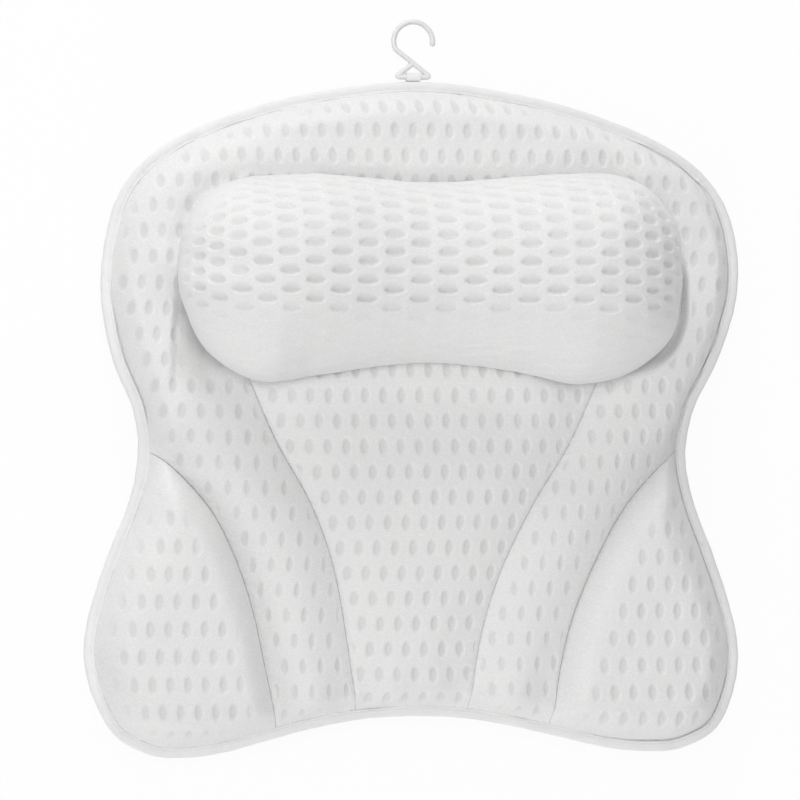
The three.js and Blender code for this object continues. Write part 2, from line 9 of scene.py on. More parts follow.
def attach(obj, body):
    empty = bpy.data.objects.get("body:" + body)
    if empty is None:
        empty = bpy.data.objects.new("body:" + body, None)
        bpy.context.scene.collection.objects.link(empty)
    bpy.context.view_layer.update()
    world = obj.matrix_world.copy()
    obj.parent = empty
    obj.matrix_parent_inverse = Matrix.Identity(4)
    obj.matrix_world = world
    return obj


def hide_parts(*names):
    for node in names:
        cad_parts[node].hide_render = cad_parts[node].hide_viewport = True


# The looks of a bath pillow: padded mesh panels with oval dimples, a stuffed neck roll, a folded
# binding, a swinging hook, and suction cups in grommets. Sizes are in millimetres up to the floor.
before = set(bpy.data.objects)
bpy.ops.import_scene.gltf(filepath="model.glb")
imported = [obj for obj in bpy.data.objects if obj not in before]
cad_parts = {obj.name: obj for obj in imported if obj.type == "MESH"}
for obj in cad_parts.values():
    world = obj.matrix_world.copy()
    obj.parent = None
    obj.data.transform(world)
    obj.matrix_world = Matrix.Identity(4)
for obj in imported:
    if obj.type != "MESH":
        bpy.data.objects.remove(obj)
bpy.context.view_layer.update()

MM = 0.001
CENTRE_Y = -18.622

# The pillow's named sizes and levels, as its solids have them
WIDTH, HEIGHT = 394.0, 401.0
FIT_GAP, SEAM_GAP = 0.3, 0.4
BACK_Z, BACK_TOP_Z = 16.8, 19.2
LAYER_Z, EDGE_TOP_Z = 19.5, 21.1
SEAT_Z, ROLL_Z = 36.2, 36.5
FABRIC_INSET, EDGE_FLAT, FILL_INSET = 1.3, 5.6, 9.1
BORDER_CREST, CENTRE_CREST, WING_CREST = 46.2, 42.7, 56.2
INNER_SEAM_Z, WING_SEAM_Z = 36.2, 34.2
QUILT_REACH, EDGE_REACH, WING_REACH, WING_SIDE_REACH = 26.0, 13.0, 21.0, 15.0
ROLL_LENGTH, ROLL_DEPTH, ROLL_CENTRE_Y = 298.0, 122.0, 83.5
ROLL_LOBE, ROLL_WAIST, ROLL_SPINE, ROLL_FLANGE = 72.0, 62.0, 88.0, 12.0
TAPE_WIDTH, TAPE_THICKNESS = 6.0, 1.0

# Right half of each outline, as shares of half its width and half its height
OUTLINE_SHARES = [
    (0, 1), (0.295, 0.967), (0.489, 0.922), (0.725, 0.832), (0.857, 0.743), (0.934, 0.634),
    (0.972, 0.473), (0.969, 0.338), (0.924, 0.17), (0.857, 0.024), (0.836, -0.111),
    (0.862, -0.246), (0.932, -0.425), (0.988, -0.605), (1, -0.709), (0.976, -0.829),
    (0.914, -0.938), (0.8, -0.994), (0.711, -1), (0.599, -0.989), (0.467, -0.958),
    (0.315, -0.921), (0.152, -0.893), (0, -0.886),
]
INNER_SEAM_SHARES = [
    (0.548, 0.1), (0.447, -0.07), (0.335, -0.26), (0.254, -0.449), (0.206, -0.639),
    (0.173, -0.848), (0.168, -0.895),
]
WING_SEAM_SHARES = [
    (0.835, -0.085), (0.741, -0.145), (0.629, -0.269), (0.548, -0.419), (0.487, -0.579),
    (0.449, -0.739), (0.424, -0.878), (0.411, -0.946),
]
ROLL_SHARES = [
    (0, 0.87), (0.22, 0.9), (0.42, 0.94), (0.6, 0.96), (0.76, 0.92), (0.89, 0.77),
    (0.975, 0.48), (1, 0.12), (0.982, -0.25), (0.915, -0.6), (0.825, -0.8),
    (0.725, -0.92), (0.6, -0.96), (0.42, -0.92), (0.22, -0.85), (0, -0.81),
]

# The roll's section from its crown to its seam, where its flank stands up from the border and
# where it runs down to it
STEEP_SECTION = [
    (0, 1), (0.2, 0.99), (0.48, 0.94), (0.74, 0.82), (0.92, 0.65), (1.03, 0.46),
    (1.08, 0.26), (1.08, 0.13), (1, 0),
]
EASY_SECTION = [
    (0, 1), (0.2, 0.985), (0.44, 0.91), (0.63, 0.78), (0.79, 0.61), (0.91, 0.43),
    (0.98, 0.26), (1.01, 0.12), (1, 0),
]
CUP_SHARES = [(0.57, 0.55), (0.62, -0.03), (0.66, -0.62)]

# The fabric's dimples: their pitch across and along, and their half sizes and depth, where it lies
# flat and where it is stretched
PIT_ACROSS, PIT_ALONG, WING_ALONG, ROLL_ALONG = 10.8, 15.0, 16.1, 15.7
FLAT_PIT, ROLL_PIT = (2.9, 5.4, 1.05), (4.9, 6.3, 1.9)

# How far the photographed pillow leans to the right: high on it, at its foot, and along its seams
LEAN, LEAN_CENTRE_Y, LEAN_REACH = 6.6, 108.0, 85.0
FOOT_LEAN, FOOT_LEAN_REACH = 3.8, 52.0
SEAM_LEAN, SEAM_LEAN_ZERO_Y, SEAM_LEAN_SPAN, SEAM_LEAN_WIDTH = 4.4, -96.0, 160.0, 128.0

# The coarse mesh: steps of the fabric's own grid, a step along its border, and rows beside that
GRID_ACROSS, GRID_ALONG = PIT_ACROSS / 3, PIT_ALONG / 3
RING_STEP, RING_ROWS = 3.6, (1.1, 2.7, 4.3, 5.9)
CURVE_STEPS, SEAM_STEPS = 240, 24

# The cloth simulation: its frames, how stiff the cloth is, and how far below it the shell closes
CLOTH_STEPS, CLOTH_STIFFNESS, SHELL_DEPTH = 20, 30.0, 2.0

# Angles between faces over which an edge is sharp, on turned pieces and on the back
TURNED_CREASE, BACK_CREASE = math.radians(38), math.radians(50)


# Lines in the plane

def centripetal_half(shares, across, up, centre_y=0.0):
    """Points down the right half of a smooth closed curve, from its top to its bottom."""
    right = np.array(shares, float) * (across, up) + (0, centre_y)
    loop = np.vstack([right, right[1:-1][::-1] * (-1, 1)])
    t = np.arange(CURVE_STEPS + 1) / CURVE_STEPS / 2 * len(loop)
    i = np.floor(t).astype(int)
    w = (t - i)[:, None]
    p0, p1, p2, p3 = (loop[(i + k) % len(loop)] for k in (-1, 0, 1, 2))
    d0, d1, d2 = (
        np.sqrt(np.linalg.norm(b - a, axis=1))[:, None] for a, b in ((p0, p1), (p1, p2), (p2, p3))
    )
    m1 = ((p1 - p0) / d0 - (p2 - p0) / (d0 + d1) + (p2 - p1) / d1) * d1
    m2 = ((p2 - p1) / d1 - (p3 - p1) / (d1 + d2) + (p3 - p2) / d2) * d1
    half = hermite(p1, p2, m1, m2, w)
    half[:, 0] = np.abs(half[:, 0])
    return half


def hermite(a, b, ma, mb, w):
    return (
        (2 * a - 2 * b + ma + mb) * w ** 3 + (-3 * a + 3 * b - 2 * ma - mb) * w ** 2 + ma * w + a
    )


def spline(points, steps):
    """Evenly sampled curve through points, with steps between each two."""
    p = np.vstack([points[:1], points, points[-1:]])
    out = []
    for i in range(1, len(p) - 2):
        w = np.linspace(0, 1, steps, endpoint=False)[:, None]
        out.append(hermite(p[i], p[i + 1], (p[i + 1] - p[i - 1]) / 2, (p[i + 2] - p[i]) / 2, w))
    return np.vstack([*out, p[-1:]])


def lengths(line):
    return np.concatenate([[0], np.cumsum(np.linalg.norm(np.diff(line, axis=0), axis=1))])


def at_lengths(line, at):
    """The line's own points at lengths along it."""
    return np.column_stack([np.interp(at, lengths(line), column) for column in line.T])


def resample(line, step=RING_STEP):
    """Points on a line, about a step apart, with both ends kept."""
    total = lengths(line)[-1]
    return at_lengths(line, np.linspace(0, total, max(1, round(total / step)) + 1))


def directions(line):
    """Unit vectors along a line, at its points."""
    along = np.gradient(line, axis=0)
    return along / np.linalg.norm(along, axis=1)[:, None]


def offset(line, distance):
    """A line moved to the right of the way along it."""
    return line + distance * directions(line)[:, ::-1] * (1, -1)


def mirrored(line):
    return line * (-1, 1)


def whole(half):
    """A closed ring from its right half, counter-clockwise, without its first point repeated."""
    return np.vstack([half, mirrored(half[1:-1])[::-1]])[::-1]


def closed(ring):
    return np.vstack([ring, ring[:1]])


def distance(points, line):
    """Distance from each point to a line."""
    a, side = line[:-1], np.diff(line, axis=0)
    length2 = (side ** 2).sum(1)
    out = []
    for block in np.array_split(points, max(1, len(points) // 2000)):
        away = block[:, None] - a
        share = np.clip((away * side).sum(2) / length2, 0, 1)[..., None]
        out.append(np.linalg.norm(away - share * side, axis=2).min(1))
    return np.concatenate(out)


def ring_directions(ring):
    """Unit vectors along a counter-clockwise ring and inwards from it, at its points."""
    along = np.roll(ring, -1, axis=0) - np.roll(ring, 1, axis=0)
    along /= np.linalg.norm(along, axis=1)[:, None]
    return along, along[:, ::-1] * (-1, 1)


def cut(line, start, end):
    """The stretch of a line between two lengths along it."""
    s = lengths(line)
    inner = s[(s > start + 0.01) & (s < end - 0.01)]
    return at_lengths(line, np.concatenate([[start], inner, [end]]))


def inside(points, ring):
    """Whether each point lies in a closed ring."""
    within = np.zeros(len(points), bool)
    x, y = points[:, 0], points[:, 1]
    for a, b in zip(ring, np.roll(ring, -1, axis=0)):
        spans = (a[1] > y) != (b[1] > y)
        if spans.any():
            within ^= spans & (x < a[0] + (y - a[1]) / (b[1] - a[1] + 1e-12) * (b[0] - a[0]))
    return within


def smoothstep(x, low, high):
    """A smooth step from 0 at low to 1 at high. High is below low where it goes down."""
    t = np.clip((x - low) / (high - low), 0, 1)
    return t * t * (3 - 2 * t)


def band(x, start, full, fade, end):
    """0 up to a start, 1 from full to fade, and 0 again from an end."""
    return smoothstep(x, start, full) * smoothstep(x, end, fade)


def roll_ease(x, y):
    """Where the roll runs down to its seam without a step: at its left end and along its front."""
    left = smoothstep(-x, 30, 100) * smoothstep(y, -14, 14)
    front = smoothstep(-y, 30, 45) * smoothstep(np.abs(x + 10), 100, 60)
    top = smoothstep(y, 20, 45) * smoothstep(x, 130, 80)
    corner = smoothstep(x, 80, 130) * smoothstep(-y, 0, 25)
    return np.max([left, 0.7 * front, 0.5 * top, 0.35 * corner], axis=0)


half_size = np.array([WIDTH / 2, HEIGHT / 2])
outline = centripetal_half(OUTLINE_SHARES, *half_size)
edge = offset(outline, FABRIC_INSET)
edge[[0, -1], 0] = 0
roll_rim = centripetal_half(ROLL_SHARES, ROLL_LENGTH / 2, ROLL_DEPTH / 2, ROLL_CENTRE_Y)
inner_points = np.array(INNER_SEAM_SHARES) * half_size
wing_points = np.array(WING_SEAM_SHARES) * half_size


def on(line, point):
    """The length along a line nearest a point, and the line's own point there."""
    fine = resample(line, 0.2)
    at = lengths(fine)[np.linalg.norm(fine - point, axis=1).argmin()]
    return at, at_lengths(line, [at])[0]


roll_corner_at, roll_corner = on(roll_rim, inner_points[0])
inner_end_at, inner_end = on(edge, inner_points[-1])
waist_at, waist = on(edge, wing_points[0])
wing_end_at, wing_end = on(edge, wing_points[-1])
inner_seam = spline(np.vstack([roll_corner, inner_points[1:-1], inner_end]), SEAM_STEPS)
wing_seam = spline(np.vstack([waist, wing_points[1:-1], wing_end]), SEAM_STEPS)


# Heights of the padding

# The walls round the panels: a line, its level, how far a panel stays at that level, and how far
# from there it reaches its crest. The edges' and the wings' reaches are shorter than the solids'
# have them, so the panels are fuller there.
EDGE_WALL = (edge, EDGE_TOP_Z, EDGE_FLAT, EDGE_REACH)
ROLL_WALL = (roll_rim, SEAT_Z, SEAM_GAP, QUILT_REACH)
INNER_WALL = (inner_seam, INNER_SEAM_Z, SEAM_GAP, QUILT_REACH)
PANELS = {
    "border": (BORDER_CREST, [
        EDGE_WALL, ROLL_WALL, INNER_WALL, (wing_seam, WING_SEAM_Z, SEAM_GAP, QUILT_REACH)
    ]),
    "centre": (CENTRE_CREST, [EDGE_WALL, ROLL_WALL, INNER_WALL]),
    "wing": (WING_CREST, [
        (edge, EDGE_TOP_Z, EDGE_FLAT, WING_REACH),
        (wing_seam, WING_SEAM_Z, SEAM_GAP, WING_SIDE_REACH),
    ]),
}


def right_side(points):
    return np.column_stack([np.abs(points[:, 0]), points[:, 1]])


def pad_height(panel, points):
    """Height of a panel: its crest, drawn down to the height of each wall near it."""
    crest, walls = PANELS[panel]
    at = right_side(points)
    rise = smoothstep(distance(at, edge), EDGE_FLAT, FILL_INSET + EDGE_FLAT)
    free, pull, level = np.ones(len(at)), np.zeros(len(at)), np.zeros(len(at))
    for line, z, flat, reach in walls:
        far = distance(at, line)
        if line is roll_rim:
            far[inside(at, whole(line))] = 0
        away = np.maximum(0, far - flat)
        free *= 1 - np.maximum(0, 1 - away / reach) ** 2
        weight = 1 / (away ** 2 + FIT_GAP ** 2)
        pull += weight
        level += weight * (EDGE_TOP_Z + (z - EDGE_TOP_Z) * rise)
    level /= pull
    return level + (crest - level) * free


# Meshes of fabric

def fabric_grid(ring, phase, turned=False):
    """Points of a staggered grid round a ring, three steps of it to a dimple pitch each way."""
    low, high = ring.min(0), ring.max(0)
    span = int(max(high - low) / GRID_ACROSS) + 4
    rows = np.arange(-span, span + 1)
    j, i = np.meshgrid(rows, rows, indexing="ij")
    a = phase[0] + (i + 0.5 * (j % 2)) * GRID_ACROSS
    b = phase[1] + j * GRID_ALONG
    points = np.column_stack([b.ravel(), a.ravel()] if turned else [a.ravel(), b.ravel()])
    return points[((points > low) & (points < high)).all(1)]


def looped(count, first=0):
    """The sides of a ring of vertices, counted from its first one."""
    return [(first + i, first + (i + 1) % count) for i in range(count)]


def filled(nodes, sides):
    """Triangles over lists of nodes, with the given sides kept."""
    found, _, faces, *_ = geometry.delaunay_2d_cdt(
        [Vector(p) for p in np.vstack(nodes).tolist()], sides, [], 0, 1e-4, False
    )
    return np.array([tuple(p) for p in found]), np.array(faces)


def triangulated(ring, phase, turned=False):
    """Nodes and triangles that fill a ring: its own points, rows beside them, and the grid."""
    loop, inward = closed(ring), ring_directions(ring)[1]
    nodes = [ring]
    for row in RING_ROWS:
        moved = ring + row * inward
        nodes.append(moved[inside(moved, ring) & (distance(moved, loop) > 0.9 * row)])
    grid = fabric_grid(ring, phase, turned)
    grid = grid[inside(grid, ring)]
    nodes.append(grid[distance(grid, loop) > RING_ROWS[-1] + 0.45 * GRID_ACROSS])
    found, faces = filled(nodes, looped(len(ring)))
    return found, faces[inside(found[faces].mean(1), ring)]


def edge_table(faces):
    pairs = np.sort(faces[:, [0, 1, 1, 2, 2, 0]].reshape(-1, 2), axis=1)
    edges, which, uses = np.unique(pairs, axis=0, return_inverse=True, return_counts=True)
    return edges, which.reshape(-1, 3), uses


def added(index, values, size):
    return np.column_stack([np.bincount(index, values[:, k], size) for k in range(values.shape[1])])


def subdivided(points, flat, faces):
    """One round of Loop's subdivision. The flat coordinates are split evenly."""
    n = len(points)
    edges, which, uses = edge_table(faces)

    def beside(sides):
        both = np.vstack([sides, sides[:, ::-1]])
        count = np.bincount(both[:, 0], minlength=n)[:, None]
        return count, added(both[:, 0], points[both[:, 1]], n)

    ends = points[edges[:, 0]] + points[edges[:, 1]]
    wings = added(which.ravel(), points[faces[:, [2, 0, 1]].ravel()], len(edges))
    middles = np.where((uses == 2)[:, None], 0.375 * ends + 0.125 * wings, 0.5 * ends)
    valence, around = beside(edges)
    beta = np.where(valence == 3, 3 / 16, 3 / (8 * np.maximum(valence, 3)))
    on_border, along_border = beside(edges[uses == 1])
    smooth = np.where(
        on_border > 0, 0.75 * points + 0.125 * along_border,
        (1 - valence * beta) * points + beta * around,
    )
    a, b, c = faces.T
    ab, bc, ca = (which + n).T
    split = np.vstack([
        np.column_stack(t) for t in ((a, ab, ca), (b, bc, ab), (c, ca, bc), (ab, bc, ca))
    ])
    flat_middles = (flat[edges[:, 0]] + flat[edges[:, 1]]) / 2
    return np.vstack([smooth, middles]), np.vstack([flat, flat_middles]), split


def normals(points, faces):
    a, b, c = (points[faces[:, k]] for k in range(3))
    n = np.cross(b - a, c - a)
    total = added(faces.ravel(), np.repeat(n, 3, axis=0), len(points))
    return total / np.maximum(np.linalg.norm(total, axis=1), 1e-12)[:, None]


def open_sides(faces):
    """The sides that only one face has, in that face's direction."""
    _, which, uses = edge_table(faces)
    return faces[:, [0, 1, 1, 2, 2, 0]].reshape(-1, 2)[uses[which.ravel()] == 1]


def border_loop(faces):
    """The open border of a mesh as one ring of vertices, in the order of its faces."""
    follow = dict(open_sides(faces).tolist())
    ring = [next(iter(follow))]
    while len(ring) < len(follow):
        ring.append(follow[ring[-1]])
    return np.array(ring)


def nearest_pit(a, b, kind):
    """Where each point is in the nearest dimple, in half sizes of it, and the dimple's number."""
    best, number = np.full(len(a), 9.0), np.zeros(len(a))
    across, along = np.zeros(len(a)), np.zeros(len(a))
    for shift in (0, 1):
        row = np.round((b / PIT_ALONG - shift) / 2) * 2 + shift
        col = np.round(a / PIT_ACROSS - shift / 2) + shift / 2
        da, db = a - col * PIT_ACROSS, b - row * PIT_ALONG
        far = np.hypot(da / PIT_ACROSS, db / PIT_ALONG)
        nearer = far < best
        best = np.where(nearer, far, best)
        across = np.where(nearer, da / kind[0], across)
        along = np.where(nearer, db / kind[1], along)
        number = np.where(nearer, row * 57.31 + col * 13.17, number)
    return across, along, number


def oval(across, along):
    """A soft oval dimple, a little deeper to one side."""
    far = np.hypot(across, along)
    rim = np.exp(-((far - 1.2) / 0.14) ** 2)
    return smoothstep(far, 1.04, 0.6) * (0.9 - 0.12 * across) - 0.07 * rim


def pocket(across, along):
    """A pocket that slopes in from above to a steep, bowed lower wall with a raised lip."""
    down = -across
    far = (np.abs(along) ** 2.5 + np.abs((down + 0.1) / 0.82) ** 2.5) ** 0.4
    soft = smoothstep(down, 0.3, -0.5)
    bowl = smoothstep(far, 1.04, 0.86 - 0.5 * soft)
    lip = np.exp(-((far - 1.13) / 0.09) ** 2) * smoothstep(down, 0.05, 0.5)
    return bowl * smoothstep(down, -1.05, 0.6) - 0.13 * lip


def jitter(number, seed):
    """A steady random number from 0 to 1 for each dimple."""
    return np.modf(np.abs(np.sin(number * 12.9898 + seed) * 43758.5453))[0]


# Blender objects

def leaned(points, share=1.0):
    """Points of a soft piece, moved to the right as the photographed pillow lies."""
    x, y = points[:, 0], points[:, 1]
    high = LEAN * np.exp(-((y - LEAN_CENTRE_Y) / LEAN_REACH) ** 2)
    low = FOOT_LEAN * np.exp(-((y + HEIGHT / 2) / FOOT_LEAN_REACH) ** 2)
    turn = np.clip((y - SEAM_LEAN_ZERO_Y) / SEAM_LEAN_SPAN, -0.5, 1)
    inner = SEAM_LEAN * np.sin(np.pi * turn) * np.exp(-(x / SEAM_LEAN_WIDTH) ** 4)
    return points + np.outer((high + low + inner) * share, (1, 0, 0))


def linked(name, points, faces):
    """A mesh object in the scene, from points in metres."""
    mesh = bpy.data.meshes.new(name)
    mesh.from_pydata(points.tolist(), [], faces)
    obj = bpy.data.objects.new(name, mesh)
    bpy.context.scene.collection.objects.link(obj)
    return obj


def piece(name, points, faces, material, slot, *replaced, body="pillow", **values):
    """A smooth piece from points in the pillow's millimetres, with values at its vertices."""
    obj = linked(name, (points + (0, CENTRE_Y, 0)) * MM, faces)
    obj.data.validate()
    obj.data.polygons.foreach_set("use_smooth", [True] * len(obj.data.polygons))
    obj.data.materials.append(material)
    for key, value in values.items():
        kind, field = ("FLOAT_VECTOR", "vector") if value.ndim == 2 else ("FLOAT", "value")
        attribute = obj.data.attributes.new(key, kind, "POINT")
        attribute.data.foreach_set(field, value.astype(np.float32).ravel())
    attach(obj, body)
    if replaced:
        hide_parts(*replaced)
    return obj


def swollen(points, faces, pinned, base_z, share, pressure, lift):
    """Cloth lowered to a share of its height and pressed out from below: it is held where it is
    pinned, and each point's way is limited."""
    top = points.copy()
    top[~pinned, 2] = base_z + (points[~pinned, 2] - base_z) * share
    n = len(top)
    low = top * (1, 1, 0) + (0, 0, top[:, 2].min() - SHELL_DEPTH)
    ring = border_loop(faces)
    after = np.roll(ring, -1)
    shell = np.vstack([
        faces, faces[:, ::-1] + n, np.column_stack([ring, ring + n, after + n]),
        np.column_stack([ring, after + n, after]),
    ])
    obj = linked("swell", np.vstack([top, low]) * MM, shell.tolist())
    held = np.concatenate([pinned, np.ones(n, bool)])
    obj.vertex_groups.new(name="pinned").add(np.flatnonzero(held).tolist(), 1.0, "REPLACE")
    cloth = obj.modifiers.new("Cloth", "CLOTH")
    settings = cloth.settings
    settings.quality = 6
    settings.mass = 0.3
    settings.tension_stiffness = settings.compression_stiffness = CLOTH_STIFFNESS
    settings.shear_stiffness = CLOTH_STIFFNESS / 2
    settings.bending_stiffness = 2.0
    settings.tension_damping = settings.compression_damping = 15
    settings.use_pressure = True
    settings.uniform_pressure_force = pressure
    settings.vertex_group_mass = "pinned"
    settings.effector_weights.gravity = 0
    cloth.point_cache.frame_end = CLOTH_STEPS
    scene = bpy.context.scene
    for step in range(1, CLOTH_STEPS + 1):
        scene.frame_set(step)
    found = obj.evaluated_get(bpy.context.evaluated_depsgraph_get()).to_mesh()
    moved = np.empty(len(found.vertices) * 3)
    found.vertices.foreach_get("co", moved)
    moved = moved.reshape(-1, 3)[:n] / MM - top
    scene.frame_set(1)
    mesh = obj.data
    bpy.data.objects.remove(obj)
    bpy.data.meshes.remove(mesh)
    return top + moved * (lift / (lift + np.linalg.norm(moved, axis=1)[:, None]))


# Materials

class Nodes:
    """The nodes of a material or of the world, added and joined in short calls."""

    def __init__(self, owner):
        owner.use_nodes = True
        self.owner, self.tree = owner, owner.node_tree

    def plug(self, socket, value):
        if isinstance(value, bpy.types.NodeSocket):
            self.tree.links.new(value, socket)
        else:
            socket.default_value = value

    def add(self, kind, inputs=(), **settings):
        """The outputs of a new node."""
        node = self.tree.nodes.new(kind)
        for key, value in settings.items():
            setattr(node, key, value)
        for key, value in dict(inputs).items():
            self.plug(node.inputs[key], value)
        return node.outputs

    def math(self, operation, a, b):
        return self.add("ShaderNodeMath", {0: a, 1: b}, operation=operation)[0]

    def ramp(self, value, low, high, to_low=0.0, to_high=1.0):
        inputs = {
            "Value": value, "From Min": low, "From Max": high, "To Min": to_low, "To Max": to_high
        }
        return self.add("ShaderNodeMapRange", inputs, clamp=True)["Result"]

    def mix(self, factor, a, b):
        return self.add("ShaderNodeMix", {0: factor, 6: a, 7: b}, data_type="RGBA")[2]

    def flat(self):
        return self.add("ShaderNodeAttribute", attribute_name="flat")["Vector"]

    def place(self):
        return self.add("ShaderNodeTexCoord")["Object"]

    def noise(self, vector, scale, detail=2.0):
        inputs = {"Vector": vector, "Scale": scale, "Detail": detail}
        return self.add("ShaderNodeTexNoise", inputs)["Fac"]

    def bump(self, height, distance, strength):
        inputs = {"Height": height, "Distance": distance, "Strength": strength}
        return self.add("ShaderNodeBump", inputs)["Normal"]

    def seen(self):
        """Whether a ray comes from the camera, off gloss or through something clear."""
        path = self.add("ShaderNodeLightPath")
        camera, glossy, through = (
            path[f"Is {kind} Ray"] for kind in ("Camera", "Glossy", "Transmission")
        )
        return self.math("MAXIMUM", self.math("MAXIMUM", camera, glossy), through)

    def finish(self, **sockets):
        """The material, with its shader's sockets set; their names have underscores here."""
        shader = self.tree.nodes["Principled BSDF"]
        for key, value in sockets.items():
            self.plug(shader.inputs[key.replace("_", " ")], value)
        return self.owner


def grey(value, warm=0.0):
    return (value + warm, value + warm / 2, value - warm, 1.0)


def air_mesh(name, light, dark, cell=1.2):
    """Spacer fabric: a fine net of cells over its ridges, and pits darkened in colour, partly for
    their looser, see-through net and partly as painted shade in the recesses.
    """
    m = Nodes(bpy.data.materials.new(name))
    flat = m.flat()
    pit = m.add("ShaderNodeAttribute", attribute_name="pit")["Fac"]
    cells = {"Vector": flat, "Scale": 1 / cell, "Randomness": 0.55}
    net = m.add("ShaderNodeTexVoronoi", cells)["Distance"]
    weave, patch = m.noise(flat, 1.7), m.noise(flat, 0.02)
    shade = m.mix(m.ramp(patch, 0.35, 0.65), grey(light, 0.003), grey(light - 0.012))
    base = m.mix(m.ramp(net, 0.15, 0.6, 0.0, 0.24), shade, grey(dark - 0.1))
    # Painted shade: the pit attribute darkens the colour in the dimples, most near the lower walls
    # of the roll's pockets; part of it is the darker open net there.
    base = m.mix(m.ramp(pit, 0.1, 0.9, 0.0, 0.85), base, grey(dark, 0.002))
    height = m.math("ADD", m.math("MULTIPLY", net, -0.8), m.math("MULTIPLY", weave, 0.5))
    return m.finish(
        Base_Color=base, Roughness=0.92, Normal=m.bump(height, 0.0003, 0.7), Sheen_Weight=0.25,
        Sheen_Roughness=0.5, Specular_IOR_Level=0.2,
    )


def tape_cloth(name, light, dark, rib=0.9):
    """Narrow woven tape: fine ribs across its length over a slightly uneven tone."""
    m = Nodes(bpy.data.materials.new(name))
    flat = m.flat()
    ribs = {"Vector": flat, "Scale": 1 / rib / 2, "Distortion": 0.6, "Detail": 1.0}
    wave = m.add("ShaderNodeTexWave", ribs, bands_direction="X")["Fac"]
    threads, patch = m.noise(flat, 2.4), m.noise(flat, 0.06)
    height = m.math("ADD", wave, m.math("MULTIPLY", threads, 0.7))
    return m.finish(
        Base_Color=m.mix(m.ramp(patch, 0.35, 0.7), grey(light, 0.002), grey(dark)),
        Roughness=m.ramp(threads, 0.3, 0.7, 0.6, 0.75), Normal=m.bump(height, 0.00012, 0.5),
        Sheen_Weight=0.15, Specular_IOR_Level=0.3,
    )


def moulded_plastic(name, light):
    m = Nodes(bpy.data.materials.new(name))
    place = m.place()
    grain, flow = m.noise(place, 900.0), m.noise(place, 60.0)
    return m.finish(
        Base_Color=m.mix(m.ramp(flow, 0.35, 0.65), grey(light, 0.004), grey(light - 0.02)),
        Roughness=m.ramp(grain, 0.3, 0.7, 0.26, 0.38),
        Normal=m.bump(m.math("ADD", grain, m.math("MULTIPLY", flow, 4.0)), 0.00003, 0.5),
        Specular_IOR_Level=0.5,
    )


def clear_vinyl(name):
    m = Nodes(bpy.data.materials.new(name))
    place = m.place()
    cloud, grain = m.noise(place, 45.0, 3.0), m.noise(place, 700.0)
    return m.finish(
        Base_Color=m.mix(m.ramp(cloud, 0.35, 0.7), (0.93, 0.955, 0.97, 1), (0.87, 0.905, 0.93, 1)),
        Roughness=m.ramp(cloud, 0.3, 0.7, 0.08, 0.2), Transmission_Weight=0.86, IOR=1.45,
        Normal=m.bump(grain, 0.00002, 0.4), Specular_IOR_Level=0.5,
    )


COVER = air_mesh("white_air_mesh", 0.88, 0.71)
BACK = air_mesh("back_mesh", 0.84, 0.78, 1.6)
TAPE = tape_cloth("binding_tape_cloth", 0.872, 0.842)
# The thread is a little greyer than the tape, and darker still as painted shade along the groove
# the stitches lie in.
THREAD_AND_GROOVE_SHADE = tape_cloth("thread_and_groove_shade", 0.82, 0.78, 0.5)
PLASTIC = moulded_plastic("white_plastic_gloss", 0.8)
VINYL = clear_vinyl("clear_vinyl_soft")


# Padded panels

def finished_pad(
    name, points, flat, faces, relief, pits, depth, replaced, move, bottom_z=None
):
    """Fine mesh of a pad with its dimples, closed below, as a piece on the pillow."""
    for _ in range(2):
        points, flat, faces = subdivided(points, flat, faces)
    points[:, 2] += relief(flat)
    pit, number = pits(flat)
    depth = depth * (0.85 + 0.3 * jitter(number, 0.7))
    # Painted shade for the cover's colour: each point's depth share in its dimple, varied a little
    # from dimple to dimple.
    shade = np.maximum(pit, 0) * (0.8 + 0.2 * jitter(number, 4.1))
    fine = points - normals(points, faces) * (depth * pit)[:, None]
    ring, all_faces = border_loop(faces), faces.tolist()
    if bottom_z is not None:
        low = np.arange(len(ring)) + len(fine)
        fine = np.vstack([fine, fine[ring] * (1, 1, 0) + (0, 0, bottom_z)])
        flat, shade = np.vstack([flat, flat[ring]]), np.concatenate([shade, shade[ring]])
        all_faces += np.column_stack([ring, low, np.roll(low, -1), np.roll(ring, -1)]).tolist()
        ring = low
    all_faces.append(ring[::-1].tolist())
    flat = np.column_stack([flat[:, :2], np.zeros(len(flat))])
    obj = piece(
        name, move(fine), all_faces, COVER, "mesh_fabric", *replaced, flat=flat, pit=shade
    )


# The fold at a seam: its depth and its width to one side
SEAM_FOLD, SEAM_FOLD_WIDTH = 1.6, 3.0

# How far the padding rises against the roll and against the binding, the height of the puckers
# along the seams, and the depths of the groove beside the binding and of the fold by the roll
ROLL_HUG, TAPE_HUG, PUCKER, EDGE_GROOVE, WEDGE = 8.0, 1.1, 0.4, 1.2, 9.0

# The slack of the panels and of the roll: its height and its size
PANEL_SLACK, ROLL_SLACK = (0.35, 13), (0.45, 16)

# How far the roll is moved against the panels: to the right low on its left and low on its right,
# and to the left high on its right
LEFT_SHIFT, RIGHT_SHIFT, TOP_SHIFT = 6.5, 5.0, 5.2


def roll_shift(points):
    """How far the roll lies to the right of the panels below it."""
    x, y = points[:, 0], points[:, 1]
    back = TOP_SHIFT * smoothstep(x, 80, 145) * smoothstep(y, 55, 95)
    right = RIGHT_SHIFT * smoothstep(x, 85, 125) * smoothstep(y, 75, 45)
    return LEFT_SHIFT * smoothstep(-x, 60, 120) * smoothstep(y, 100, 58) + right - back


roll_seam = whole(roll_rim)
roll_seam = roll_seam + np.outer(roll_shift(roll_seam), (1, 0))


